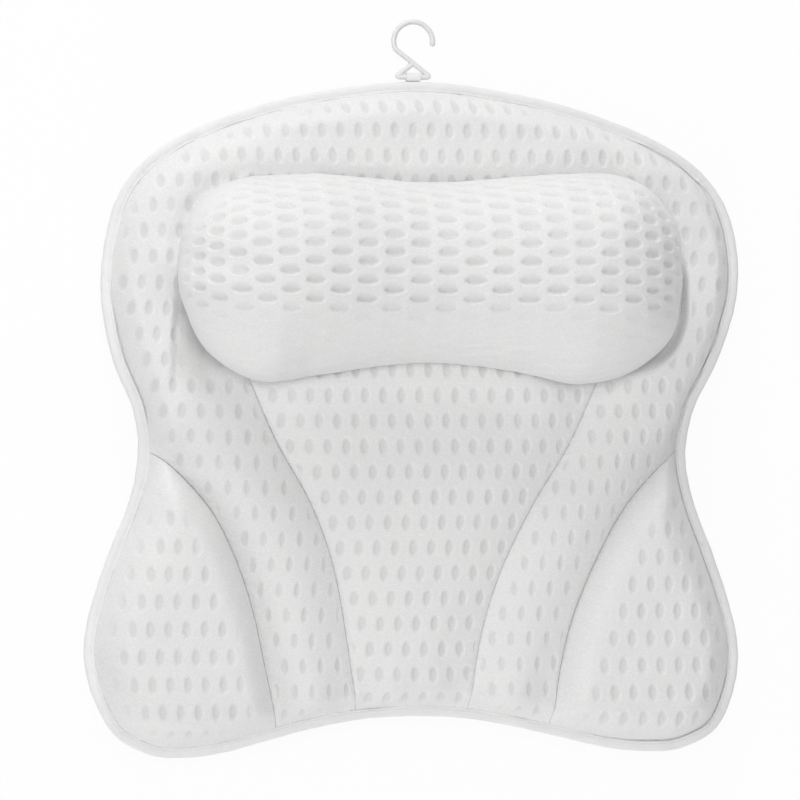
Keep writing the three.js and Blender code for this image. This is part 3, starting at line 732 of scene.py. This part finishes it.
def undulation(x, y, height, size):
    """A slow, uneven rise and fall, to about a height each way."""
    u, v = x / size, y / size
    return height * (
        np.sin(1.3 * u + 0.9 * np.sin(0.8 * v)) * np.sin(1.1 * v + 1.2 * np.sin(0.7 * u) + 0.8)
        + 0.5 * np.sin(2.3 * u - 1.7 * v + 1.9)
    ) / 1.5


def crevice(x, y, off_roll):
    """Where the border folds down beside the roll's lower right end, from 0 to 1."""
    return band(off_roll, -8, -3, 8, 12) * smoothstep(x, 98, 128) * band(y, 24, 40, 76, 98)


def left_fold(x, y, off_roll):
    """Where the border folds down beside the roll's lower left end, from 0 to 1."""
    step = 0.45 * smoothstep(x, -152, -146) + 0.55 * np.clip((x + 150) / 22, 0, 1)
    return (
        step * smoothstep(x, -108, -132) * smoothstep(off_roll, -10, -4) * band(y, 8, 34, 64, 80)
    )


def panel_relief(flat):
    """What a panel rises by: hugs, puckers, seams, the groove by the binding, folds and slack."""
    x, y, to_edge, to_seam, off_roll = flat.T
    above = y - ROLL_CENTRE_Y
    easy_there = np.maximum(roll_ease(x, above), 0.6 * smoothstep(x, 100, 135))
    by_roll = band(off_roll, -4.5, -0.8, 7, 26)
    shut = (1 - 0.8 * smoothstep(x, 95, 150)) * (1 - band(y, -12, 6, 55, 75))
    by_tape = band(to_edge, 4.1, 5.3, 6, 15)
    groove = np.exp(-(to_edge - 5.3) ** 2) * (1 - shut)
    groove *= 1 + 0.7 * smoothstep(x, 60, 120) * band(y, -20, 0, 50, 80)
    wave = np.sin(0.85 * above + 1.7 * np.sin(0.19 * above + 0.011 * x) + 0.05 * x)
    by_seam = wave * np.exp(-(to_seam / 3.6) ** 2) * smoothstep(to_seam, 0.2, 1.2)
    seam_fold = np.maximum(0, 1 - to_seam / SEAM_FOLD_WIDTH) ** 2
    return (
        ROLL_HUG * easy_there * by_roll + TAPE_HUG * shut * by_tape - EDGE_GROOVE * groove
        + (PUCKER * by_seam + undulation(x, y, *PANEL_SLACK)) * smoothstep(to_edge, 6, 14)
        - SEAM_FOLD * seam_fold * smoothstep(to_edge, 5, 15)
        - WEDGE * (left_fold(x, y, off_roll) + crevice(x, y, off_roll))
    )


# For the quilted panels and for the wings: the filling's pressure and how far it lifts the cloth,
# the dimples' pitch along, and the distances from the edge and from a seam over which they grow
QUILT = (3.0, 3.5, PIT_ALONG, (6.2, 10.5), (1.2, 4.0))
WING = (4.0, 4.5, WING_ALONG, (8.5, 17.0), (9.0, 23.0))

# How near to the edge and to a seam a panel's cloth is held, and the share of its height from
# which it swells
EDGE_HOLD, SEAM_HOLD, PANEL_START = 5.4, 0.6, 0.96


def panel_pad(name, ring, panel, phase):
    """A quilted panel: simulated cloth over its filling, folded in at its seams."""
    pressure, lift, pitch, edge_fade, seam_fade = WING if panel == "wing" else QUILT
    plan, faces = triangulated(counter_clockwise(ring), phase)
    at = right_side(plan)
    to_edge = distance(at, edge)
    to_seam = np.minimum(distance(at, inner_seam), distance(at, wing_seam))
    under_roll = inside(at, whole(offset(roll_rim, 1.0)))
    off_roll = distance(plan, closed(roll_seam)) * np.where(inside(plan, roll_seam), -1, 1)
    pinned = (to_edge < EDGE_HOLD) | (to_seam < SEAM_HOLD) | under_roll
    points = np.column_stack([plan, pad_height(panel, plan)])
    points = swollen(points, faces, pinned, EDGE_TOP_Z, PANEL_START, pressure, lift)

    def pits(flat):
        x, y, to_edge, to_seam, off_roll = flat.T
        along_grid = (y - phase[1]) * PIT_ALONG / pitch
        across, along, number = nearest_pit(x - phase[0], along_grid, FLAT_PIT)
        if panel == "border":
            across = across * (1 + 0.4 * smoothstep(-y, -5, 30))
        folded = 0.9 * smoothstep(left_fold(x, y, off_roll - 3), 0.35, 0.8)
        unfolded = smoothstep(crevice(x, y, off_roll - 3), 0.5, 0) * (1 - folded)
        fade = smoothstep(to_edge, *edge_fade) * smoothstep(to_seam, *seam_fade) * unfolded
        return oval(across, along) * fade, number

    finished_pad(
        name, points, np.column_stack([plan, to_edge, to_seam, off_roll]), faces, panel_relief,
        pits, FLAT_PIT[2], [name.replace("pad", part) for part in ("cover", "fill")], leaned,
        LAYER_Z,
    )


# The panels' rings. Beside a seam they are half of its small gap away, and below the roll they end
# a flange's width inside its rim.
SEAM_HALF = 0.12
flange = offset(roll_rim, ROLL_FLANGE)
flange_length = lengths(flange)[-1]
flange_corner = flange_length * roll_corner_at / lengths(roll_rim)[-1]
flange_top = cut(flange, 0, flange_corner)
flange_front = cut(flange, flange_corner, flange_length)
flange_top[0, 0] = flange_front[-1, 0] = 0
wing_out, wing_in = offset(wing_seam, SEAM_HALF), offset(wing_seam, -SEAM_HALF)
inner_out, inner_in = offset(inner_seam, -SEAM_HALF), offset(inner_seam, SEAM_HALF)
border_half = np.vstack([
    resample(cut(edge, 0, waist_at))[:-1],
    resample(wing_out),
    resample(cut(edge, wing_end_at, inner_end_at))[1:-1],
    resample(inner_out[::-1]),
    resample(flange_top[::-1]),
])
centre_half = np.vstack([
    resample(flange_front[::-1])[:-1],
    resample(inner_in),
    resample(cut(edge, inner_end_at, lengths(edge)[-1]))[1:],
])
right_wing_ring = np.vstack([
    resample(wing_in)[:-1],
    resample(cut(edge, waist_at, wing_end_at)[::-1])[:-1],
])


def counter_clockwise(ring):
    x, y = ring.T
    area = (x * np.roll(y, -1) - y * np.roll(x, -1)).sum()
    return ring if area > 0 else ring[::-1]


# Each with the middle of one of its dimples, and how full it is
panel_pad("border_pad", whole(border_half), "border", (-115.6, -40.7))
panel_pad("center_pad", whole(centre_half), "centre", (-32.0, -31.4))
panel_pad("right_wing_pad", right_wing_ring, "wing", (148.0, -66.0))
panel_pad("left_wing_pad", mirrored(right_wing_ring), "wing", (-143.6, -74.7))


# Neck roll

SECTION_STEPS = 12
steep, easy = (
    spline(np.array([(-0.2, 0.99), *shares]), SECTION_STEPS)[SECTION_STEPS:]
    for shares in (STEEP_SECTION, EASY_SECTION)
)
rim = roll_rim - (0, ROLL_CENTRE_Y)
rim_top = rim[(rim[:, 0] <= ROLL_SPINE) & (rim[:, 1] > 0)]
rim_bottom = rim[(rim[:, 0] <= ROLL_SPINE) & (rim[:, 1] < 0)][::-1]
rim_cap = rim[rim[:, 0] >= ROLL_SPINE][::-1] - (ROLL_SPINE, 0)
ROLL_PHASE = (2.0, 3.0)

# The roll's cloth: how near to its seam it is held, and its swelling as the panels have it
ROLL_HOLD, ROLL_START, ROLL_PRESSURE, ROLL_LIFT = 3.0, 0.985, 4.0, 4.0

# The roll's cover is pulled smooth low on it: how much of the dimples is left, and where they end
ROLL_SMOOTH, ROLL_SMOOTH_Y = 0.18, (-30.0, -12.0)


def roll_reach(x, y):
    """How far the roll's seam is from its spine, in the direction of a point off the spine."""
    past = np.maximum(np.abs(x) - ROLL_SPINE, 0)
    side = np.where(
        y > 0,
        np.interp(np.abs(x), rim_top[:, 0], rim_top[:, 1]),
        np.interp(np.abs(x), rim_bottom[:, 0], -rim_bottom[:, 1]),
    )
    turn = np.arctan2(y, past)
    cap = np.interp(
        turn, np.arctan2(rim_cap[:, 1], rim_cap[:, 0]), np.linalg.norm(rim_cap, axis=1)
    )
    return np.where(past > 0, cap, side)


def roll_height(x):
    return ROLL_WAIST + (ROLL_LOBE - ROLL_WAIST) * smoothstep(np.abs(x), 0, ROLL_SPINE)


def roll_sections(rim_points, reach, height):
    """The section at each point of the seam, and the lengths along it from the crown."""
    section = steep + roll_ease(*rim_points.T)[:, None, None] * (easy - steep)
    across = reach[:, None] * section[..., 0]
    up = height[:, None] * section[..., 1]
    steps = np.hypot(np.diff(across, axis=1), np.diff(up, axis=1))
    return section, np.column_stack([np.zeros(len(reach)), np.cumsum(steps, axis=1)])


def roll_surface(flat):
    """Points of the roll, in the pillow's millimetres, for points of its cover laid flat."""
    x, y = flat.T
    root = np.clip(x, -ROLL_SPINE, ROLL_SPINE)
    away = np.column_stack([x - root, y])
    far = np.linalg.norm(away, axis=1)
    direction = away / np.maximum(far, 1e-9)[:, None]
    reach, height = roll_reach(x, y), roll_height(root)
    spine = np.column_stack([root, np.zeros(len(root))])
    section, table = roll_sections(spine + direction * reach[:, None], reach, height)
    out, up = np.empty(len(x)), np.empty(len(x))
    for i, row in enumerate(table):
        out[i] = np.interp(far[i], row, section[i, :, 0])
        up[i] = np.interp(far[i], row, section[i, :, 1])
    across = root + direction[:, 0] * out * reach
    along = ROLL_CENTRE_Y + direction[:, 1] * out * reach
    return np.column_stack([across, along, ROLL_Z + up * height])


def flat_roll_ring():
    seam = closed(whole(rim))
    spine = np.column_stack([np.clip(seam[:, 0], -ROLL_SPINE, ROLL_SPINE), np.zeros(len(seam))])
    away = seam - spine
    reach = np.linalg.norm(away, axis=1)
    total = roll_sections(seam, reach, roll_height(spine[:, 0]))[1][:, -1]
    return resample(spine + away * (total / reach)[:, None])[:-1]


def roll_relief(flat):
    """The roll's slack: slow unevenness, and shallow creases across its smooth front."""
    x, y, depth = flat.T
    rng = np.random.default_rng(11)
    creases = np.zeros(len(x))
    for _ in range(26):
        a, b = rng.uniform(-125, 125), rng.uniform(-68, -22)
        wide, tall, high = rng.uniform(8, 26), rng.uniform(1.6, 3.4), rng.uniform(-1.0, 0.7)
        creases += high * np.exp(-((x - a) / wide) ** 2 - ((y - b - 0.06 * (x - a)) / tall) ** 2)
    return (creases + undulation(x, y, *ROLL_SLACK)) * smoothstep(depth, 3, 12)


def roll_leaned(points):
    return leaned(points) + np.outer(roll_shift(points), (1, 0, 0))


def roll_pad():
    """The neck roll: simulated cloth over its filling, with pockets that its stuffing opens."""
    ring = counter_clockwise(flat_roll_ring())
    plan, faces = triangulated(ring, ROLL_PHASE, turned=True)
    depth = distance(plan, closed(ring))
    held = depth < ROLL_HOLD
    points = roll_surface(plan)
    points = swollen(points, faces, held, ROLL_Z, ROLL_START, ROLL_PRESSURE, ROLL_LIFT)

    def pits(flat):
        x, y, depth = flat.T
        along_grid = (x - ROLL_PHASE[1]) * PIT_ALONG / ROLL_ALONG
        across, along, number = nearest_pit(y - ROLL_PHASE[0], along_grid, ROLL_PIT)
        kept = ROLL_SMOOTH + (1 - ROLL_SMOOTH) * smoothstep(y, *ROLL_SMOOTH_Y)
        left_end = smoothstep(-x, 95, 130) * smoothstep(depth, 48, 20)
        right_end = smoothstep(x, 95, 130) * smoothstep(depth, 56, 34)
        fade = smoothstep(depth, 2.0, 7.0) * kept * (1 - 0.9 * np.maximum(left_end, right_end))
        return pocket(across, along) * fade, number

    finished_pad(
        "neck_roll_pad", points, np.column_stack([plan, depth]), faces, roll_relief, pits,
        ROLL_PIT[2], ["neck_roll_cover", "neck_roll_fill", "neck_roll_back", "seat_fill"],
        roll_leaned,
    )


roll_pad()


# Swept and turned pieces

def tube_faces(rings, sides, looped_rings=False, caps=False):
    """Quads between rings of points, each ring with the same number of sides."""
    index = np.arange(rings * sides).reshape(rings, sides)
    if looped_rings:
        index = np.vstack([index, index[:1]])
    index = np.column_stack([index, index[:, :1]])
    quads = np.dstack([index[:-1, :-1], index[:-1, 1:], index[1:, 1:], index[1:, :-1]])
    faces = quads.reshape(-1, 4).tolist()
    if caps:
        faces += [list(range(sides))[::-1], list(range((rings - 1) * sides, rings * sides))]
    return faces


def outward(obj):
    """A closed piece, with its faces turned outwards."""
    work = bmesh.new()
    work.from_mesh(obj.data)
    bmesh.ops.recalc_face_normals(work, faces=work.faces[:])
    work.to_mesh(obj.data)
    work.free()
    return obj


def waves(s, length, lowest, highest, seed):
    """A smooth random line that repeats over a length, from about -1 to 1."""
    rng = np.random.default_rng(seed)
    turns = rng.integers(lowest, highest, 24)
    phases = rng.uniform(0, 2 * np.pi, 24)
    share = rng.uniform(0.4, 1.0, 24)
    angle = 2 * np.pi * np.outer(s / length, turns) + phases
    return (np.sin(angle) * share).sum(1) / np.sqrt((share ** 2).sum() / 2) / 2


def arc(centre, radius, start, end, steps):
    turn = np.radians(np.linspace(start, end, steps))
    return centre + radius * np.column_stack([np.cos(turn), np.sin(turn)])


# The binding's section: how far in from the outline, and its level. It goes round the outer face
# first, and its stitches lie in a groove.
TAPE_LOW, TAPE_HIGH, TAPE_STEP = 15.5, 22.4, 1.1
NOSE, STITCH_GROOVE, TAPE_OUTER = 1.9, 0.7, 21
TAPE_SECTION = np.array([
    (TAPE_WIDTH, TAPE_LOW + TAPE_THICKNESS), (TAPE_WIDTH + 0.05, TAPE_LOW + 0.45),
    (TAPE_WIDTH - 0.3, TAPE_LOW + 0.05), (4.9, TAPE_LOW + 0.12), (3.9, TAPE_LOW),
    *arc((NOSE, TAPE_LOW + NOSE), NOSE, 270, 180, 5),
    *arc((NOSE, TAPE_HIGH - NOSE), NOSE, 180, 90, 5),
    (3.2, TAPE_HIGH), (4.0, TAPE_HIGH - 0.3), (4.6, TAPE_HIGH - STITCH_GROOVE),
    (5.1, TAPE_HIGH - 0.25), (TAPE_WIDTH - 0.35, TAPE_HIGH + 0.02),
    (TAPE_WIDTH, TAPE_HIGH - 0.3), (TAPE_WIDTH, TAPE_HIGH - TAPE_THICKNESS),
    (3.5, TAPE_HIGH - TAPE_THICKNESS), (TAPE_THICKNESS, TAPE_HIGH - TAPE_THICKNESS),
    (TAPE_THICKNESS, TAPE_LOW + TAPE_THICKNESS), (3.5, TAPE_LOW + TAPE_THICKNESS),
])
STITCH_INSET, STITCH_PITCH, STITCH_LENGTH, STITCH_RADIUS = 4.6, 3.3, 2.5, 0.24
STITCH_DIP, STITCH_SIDES, STITCH_RINGS = 0.22, 6, 5
TOP_STITCH_Z, LOW_STITCH_Z = TAPE_HIGH - STITCH_GROOVE + 0.02, TAPE_LOW + 0.1

# The tape's puckers and unevenness: lowest and highest number of waves round the pillow, the seed
# of their random draws, and their heights
PUCKERS, SWAY, LIFT = (90, 420, 3), (8, 60, 5), (20, 150, 7)
PUCKER_HEIGHT, LIFT_HEIGHT = 0.2, 0.1


def unit_circle(sides):
    return arc((0, 0), 1, 0, 360, sides + 1)[:-1]


def stacked(place, z):
    """One list of points from rows of points in plan and their levels."""
    return np.dstack([place, np.broadcast_to(z, place.shape[:2])]).reshape(-1, 3)


def outline_frame(step):
    """Evenly spaced points round the outline, with their directions along and inwards."""
    ring = resample(closed(whole(outline)), step)[:-1]
    return ring, *ring_directions(ring)


# Where the tape's upper end is cut, over its lower end, and the lap's thickness and length
LAP_END, LAP_THICKNESS, LAP_LENGTH = (-160.0, -38.0), 0.55, 26.0


def binding():
    """The folded tape, puckered across by its stitches, with its ends overlapped."""
    ring, along, inward = outline_frame(TAPE_STEP)
    s = np.arange(len(ring)) * TAPE_STEP
    cut_at = np.linalg.norm(ring - LAP_END, axis=1).argmin()
    past = (s - s[cut_at]) * np.sign(along[cut_at, 1])
    lap = band(past, -0.3, 0.3, LAP_LENGTH / 2, LAP_LENGTH)
    right = smoothstep(ring[:, 0], 60, 150) * smoothstep(ring[:, 1], -30, 20)
    total = len(ring) * TAPE_STEP
    pucker, sway, lift = (waves(s, total, *kind) for kind in (PUCKERS, SWAY, LIFT))
    lap, right, pucker, sway, lift = (row[:, None] for row in (lap, right, pucker, sway, lift))
    inset, z = TAPE_SECTION.T
    outer = np.arange(len(z)) < TAPE_OUTER
    loose = smoothstep(inset, 1.0, 4.0) * outer
    side = smoothstep(inset, 4.0, 6.0)
    top = np.where(z > (TAPE_LOW + TAPE_HIGH) / 2, 1, -1)
    lift = LIFT_HEIGHT * lift
    rise = top * loose * (PUCKER_HEIGHT * pucker + lift + LAP_THICKNESS * lap)
    wander = side * (0.35 + 0.5 * right) * sway + (1 - side) * lift
    widened = (0.5 * side - LAP_THICKNESS * (1 - loose) * outer) * lap
    place = ring[:, None] + inward[:, None] * (inset + wander + widened)[..., None]
    faces = tube_faces(*place.shape[:2], looped_rings=True)
    flat = np.dstack(np.broadcast_arrays(s[:, None], lengths(TAPE_SECTION), 0.0))
    outward(piece(
        "edge_tape", leaned(stacked(place, z + rise)), faces, TAPE, "binding_tape",
        "edge_binding", flat=flat.reshape(-1, 3),
    ))


def stitches():
    """Lockstitches along the binding's inner edge, above and below."""
    ring, along, inward = outline_frame(STITCH_PITCH)
    u = np.linspace(-1, 1, STITCH_RINGS)[:, None]
    thick = STITCH_RADIUS * np.maximum(0.35, 1 - np.abs(u) ** 3)
    cos, sin = unit_circle(STITCH_SIDES).T
    ahead, aside = (u * STITCH_LENGTH / 2 + 0 * cos).ravel(), (STITCH_INSET + thick * cos).ravel()
    place = ring[:, None] + along[:, None] * ahead[:, None] + inward[:, None] * aside[:, None]
    up = (thick * sin - STITCH_DIP * u * u).ravel()
    points = np.vstack([stacked(place, TOP_STITCH_Z + up), stacked(place, LOW_STITCH_Z - up)])
    stitch = tube_faces(STITCH_RINGS, STITCH_SIDES, caps=True)
    firsts = range(0, len(points), STITCH_RINGS * STITCH_SIDES)
    faces = [[first + i for i in face] for first in firsts for face in stitch]
    outward(piece("edge_stitches", leaned(points), faces, THREAD_AND_GROOVE_SHADE, "binding_tape", flat=points))


binding()
stitches()


# Cups, grommets and the back

cup_half = np.array(CUP_SHARES) * half_size
CUP_CENTRES = np.vstack([cup_half, mirrored(cup_half)])
HOLE_RADIUS, HOLE_SIDES = 6.2, 28
HOLE_RINGS = (HOLE_RADIUS, 8.0, 10.6, 13.5, 17.5)
BACK_STEP, BACK_SAG, BACK_DROP = 4.0, 0.27, 0.35
TURNED_SIDES, CORNER_SHARE = 72, 0.45


def turned_piece(name, profile, centre, material, slot, replaced, body="pillow"):
    """A piece turned round an upright axis from a closed or axis-to-axis profile."""
    on_axis = profile[0, 0] < 1e-6
    inner = profile[1:-1] if on_axis else profile
    place = centre + inner[:, :1, None] * unit_circle(TURNED_SIDES)
    points = stacked(place, inner[:, 1:])
    faces = tube_faces(len(inner), TURNED_SIDES, looped_rings=not on_axis)
    if on_axis:
        first, base = len(points), len(points) - TURNED_SIDES
        points = np.vstack([points, (*centre, profile[0, 1]), (*centre, profile[-1, 1])])
        for i, k in looped(TURNED_SIDES):
            faces += [(first, k, i), (first + 1, base + i, base + k)]
    obj = outward(piece(name, points, faces, material, slot, replaced, body=body))
    obj.data.set_sharp_from_angle(angle=TURNED_CREASE)


def rounded(points, reach, steps, even=True):
    """A line with its inner corners rounded, with the same reach to both sides if it is even."""
    p = np.array(points, float)
    t = np.linspace(0, 1, steps)[:, None]
    out = [p[:1]]
    for before, at, after in zip(p[:-2], p[1:-1], p[2:]):
        sides = before - at, after - at
        far = [min(reach, CORNER_SHARE * np.linalg.norm(side)) for side in sides]
        if even:
            far = [min(far)] * 2
        a, b = (at + side / np.linalg.norm(side) * r for side, r in zip(sides, far))
        out.append((1 - t) ** 2 * a + 2 * t * (1 - t) * at + t * t * b)
    return np.vstack([*out, p[-1:]])


cup_shares = np.linspace(0, 1, 12)
dome = [(9 + 21 * t, 11 - 10.1 * t ** 1.6) for t in cup_shares]
hollow = [(26.5 * t, 6.5 * (1 - t ** 2)) for t in cup_shares]
CUP_PROFILE = rounded([
    *hollow, (30, 0), (30.05, 0.45), *dome[::-1], (9, 12.4), (8.5, 13.2), (9, 14.0), (9, 15),
    (4, 15), (4, 22.3), (6.5, 22.3), (6.5, 24.6), (5.6, 25.9), (4, 26.9), (0, 26.9),
], 0.35, 4)
GROMMET_PROFILE = rounded([
    (4.4, 15.3), (9.4, 15.3), (10, 15.7), (10, 16.5), (5.9, 16.5), (5.9, 21.0), (7.5, 21.0),
    (7.5, 22.0), (4.4, 22.0), (4.4, 15.3),
], 0.3, 4)[:-1]
for number, centre in enumerate(CUP_CENTRES, 1):
    turned_piece(
        f"vinyl_cup_{number}", CUP_PROFILE, centre, VINYL, "clear_vinyl",
        f"suction_cup_{number}", body=f"cup_{number}",
    )
    turned_piece(
        f"grommet_{number}", GROMMET_PROFILE, centre, PLASTIC, "white_plastic", f"eyelet_{number}"
    )


def from_cups(points):
    return np.min([np.linalg.norm(points - centre, axis=1) for centre in CUP_CENTRES], axis=0)


def back_sheet():
    """The flat back, drawn in a little round its grommets, with holes for them."""
    ring = resample(closed(whole(edge)), BACK_STEP)[:-1]
    nodes, sides = [ring], looped(len(ring))
    for number, centre in enumerate(CUP_CENTRES):
        sides += looped(HOLE_SIDES, len(ring) + number * len(HOLE_RINGS) * HOLE_SIDES)
        nodes += [centre + radius * unit_circle(HOLE_SIDES) for radius in HOLE_RINGS]
    grid = fabric_grid(ring, (0, 0))
    kept = inside(grid, ring) & (distance(grid, closed(ring)) > 3) & (from_cups(grid) > 20)
    plan, faces = filled([*nodes, grid[kept]], sides)
    middle = plan[faces].mean(1)
    faces = faces[inside(middle, ring) & (from_cups(middle) > HOLE_RADIUS * 0.99)]
    to_edge = distance(plan, closed(ring))
    slack = smoothstep(from_cups(plan), 10.5, 30) * smoothstep(to_edge, 5, 20)
    x, y = plan.T
    sag = BACK_SAG * np.sin(x / 23 + 0.6 * np.sin(y / 31)) * np.sin(y / 27 + 1.3) * slack
    n = len(plan)
    both = np.vstack([plan, plan])
    z = np.concatenate([np.full(n, BACK_TOP_Z), BACK_Z - BACK_DROP * slack + sag])
    by_edge = np.tile(smoothstep(to_edge, 45, 5), 2)
    a, b = open_sides(faces).T
    walls = np.column_stack([a, a + n, b + n, b])
    all_faces = faces.tolist() + (faces[:, ::-1] + n).tolist() + walls.tolist()
    points = leaned(np.column_stack([both, z]), by_edge)
    no_pits = np.zeros(2 * n)
    obj = piece(
        "back_sheet", points, all_faces, BACK, "back_fabric", "back_panel",
        flat=np.column_stack([both, no_pits]), pit=no_pits,
    )
    obj.data.set_sharp_from_angle(angle=BACK_CREASE)
    a, b, c = (plan[faces[:, k]] for k in range(3))


back_sheet()


# Hook and its ribbon

HOOK_Y, HOOK_Z = 203.3, 18.95
HOOK_RADIUS, HOOK_CENTRE, HOOK_ROD, HOOK_TIP = 11.7, 21.2, 1.6, 1.75
HOOK_BASE, HOOK_SHOULDER = 10.5, np.array([-10.6, 16.4])
HOOK_BEND, HOOK_SIDES = 2.6, 18
RIBBON_HALF_WIDTH, RIBBON_THICKNESS, RIBBON_REACH = 4.3, 0.55, 2.5


def hook_line():
    """The hook's own line in its plane: its bow, shoulder, leg, bar and return leg."""
    bow = arc((0, HOOK_CENTRE), HOOK_RADIUS, -5.4, 198, 60)
    right, left = np.array([HOOK_BASE, 0.0]), np.array([-HOOK_BASE, 0.0])
    apex = right + (HOOK_SHOULDER - right) * HOOK_BASE / (HOOK_BASE - HOOK_SHOULDER[0])
    end = left + 0.9 * (apex - left)
    corners = rounded([bow[-1], HOOK_SHOULDER, right, left, end], HOOK_BEND, 9, even=False)
    return np.vstack([bow, corners[1:]])


def hook_rod():
    """The hook as one round rod with domed ends, a little thicker at its tip."""
    line = resample(hook_line(), 0.55)
    along = directions(line)
    dome = np.radians([26, 52, 78])
    out = HOOK_TIP * np.sin(dome)[:, None]
    radius = HOOK_ROD + (HOOK_TIP - HOOK_ROD) * np.exp(-lengths(line) / 1.2)
    radius = np.concatenate([HOOK_TIP * np.cos(dome[::-1]), radius, HOOK_ROD * np.cos(dome)])
    line = np.vstack([line[0] - along[0] * out[::-1], line, line[-1] + along[-1] * out])
    side = np.pad(along[:, ::-1] * (-1, 1), ((3, 3), (0, 0)), mode="edge")
    cos, sin = unit_circle(HOOK_SIDES).T
    place = line[:, None] + side[:, None] * np.outer(radius, cos)[..., None] + (0, HOOK_Y)
    points = stacked(place, HOOK_Z + np.outer(radius, sin))
    faces = tube_faces(len(line), HOOK_SIDES, caps=True)
    outward(piece(
        "hook_rod", points, faces, PLASTIC, "white_plastic", "hanging_hook", body="hook"
    ))


def ribbon():
    """A woven ribbon round the hook's bar, with both ends going down to the binding."""
    tail = np.array([(-RIBBON_REACH, -1.72), (-1.6, -1.84), (-0.7, -1.91)])
    bend = arc((0, 0), HOOK_ROD + 0.32, -90, 90, 25)
    line = np.vstack([tail, bend, (tail * (1, -1))[::-1]])
    out, s = directions(line)[:, ::-1] * (1, -1), lengths(line)[:, None]
    width = np.linspace(-1, 1, 15)
    width = np.concatenate([width, width[::-1]])
    layer = np.repeat([0, RIBBON_THICKNESS], 15)
    thick = layer * (1 - 0.12 * np.maximum(0, np.abs(width) - 0.8) / 0.2)
    x = width * RIBBON_HALF_WIDTH * (1 - 0.03 * np.cos(s))
    place = line[:, None] + out[:, None] * thick[:, None] + (HOOK_Y, HOOK_Z)
    points = np.dstack([x, place]).reshape(-1, 3)
    faces, n = tube_faces(len(line), len(width)), len(width)
    for first in (0, (len(line) - 1) * n):
        faces += [
            (first + k, first + k + 1, first + n - 2 - k, first + n - 1 - k)
            for k in range(n // 2 - 1)
        ]
    flat = np.dstack(np.broadcast_arrays(s, x, layer)).reshape(-1, 3)
    outward(piece(
        "ribbon_loop", points, faces, TAPE, "binding_tape", "hanging_loop", flat=flat
    ))


hook_rod()
ribbon()

for name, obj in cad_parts.items():
    if name.startswith("eyelet_washer"):
        obj.data.materials.clear()
        obj.data.materials.append(PLASTIC)


# Floor, light and camera, in metres

FLOOR_HALF_SIZE, FLOOR_SEEN = 6.0, 0.94
LAMP_TARGET = (0, 0, 0.04)
CAMERA_TARGET = Vector((-0.0081, -0.0079, 0.02))
CAMERA_DISTANCE, CAMERA_TILT = 2.2, math.radians(8.5)
FRAME_WIDTH, SENSOR = 0.4765, 36.0


def floor_material():
    """Pale and matt to the light that falls on it, and nearly white to the camera."""
    m = Nodes(bpy.data.materials.new("pale_floor"))
    nodes = m.tree.nodes
    white = m.add("ShaderNodeEmission", {"Color": (1, 1, 1, 1), "Strength": 1.0})[0]
    share = m.math("MULTIPLY", m.seen(), FLOOR_SEEN)
    mixed = m.add(
        "ShaderNodeMixShader", {0: share, 1: nodes["Principled BSDF"].outputs[0], 2: white}
    )
    m.plug(nodes["Material Output"].inputs["Surface"], mixed[0])
    return m.finish(Base_Color=grey(0.93), Roughness=0.9)


def make_stage():
    corners = np.array([(-1, -1, 0), (1, -1, 0), (1, 1, 0), (-1, 1, 0)]) * FLOOR_HALF_SIZE
    floor = linked("floor", corners, [(0, 1, 2, 3)])
    floor.data.materials.append(floor_material())


def aimed(obj, place, target):
    """Stands an object at a place so that it looks at a target, with its top towards +Y."""
    back = (Vector(place) - Vector(target)).normalized()
    right = Vector((0, 1, 0)).cross(back).normalized()
    up = back.cross(right)
    obj.matrix_world = Matrix.Translation(place) @ Matrix((right, up, back)).transposed().to_4x4()
    bpy.context.scene.collection.objects.link(obj)


def area_light(name, place, size, power):
    light = bpy.data.lights.new(name, "AREA")
    light.size = size
    light.energy = power
    aimed(bpy.data.objects.new(name, light), place, LAMP_TARGET)


def world_light(strength):
    """A weak white world that shows as plain white behind the object."""
    world = bpy.context.scene.world = bpy.data.worlds.new("studio")
    m = Nodes(world)
    background = m.tree.nodes["Background"]
    m.plug(background.inputs["Color"], (1, 1, 1, 1))
    m.plug(background.inputs["Strength"], m.ramp(m.seen(), 0.0, 1.0, strength))


make_stage()
world_light(0.37)
area_light("key", (-0.2, 1.8, 0.75), 0.7, 12)
area_light("side", (-1.6, -0.2, 0.8), 0.7, 4.2)
area_light("fill", (0.0, -1.6, 0.5), 1.0, 7.4)
area_light("overhead", (-0.2, 0.3, 1.8), 0.7, 11)

camera_data = bpy.data.cameras.new("camera")
camera_data.sensor_width = SENSOR
camera_data.lens = SENSOR * CAMERA_DISTANCE / FRAME_WIDTH
camera = bpy.data.objects.new("camera", camera_data)
view_back = Vector((-math.sin(CAMERA_TILT), 0, math.cos(CAMERA_TILT))) * CAMERA_DISTANCE
aimed(camera, CAMERA_TARGET + view_back, CAMERA_TARGET)
bpy.context.scene.camera = camera
bpy.context.scene.view_settings.view_transform = "Standard"
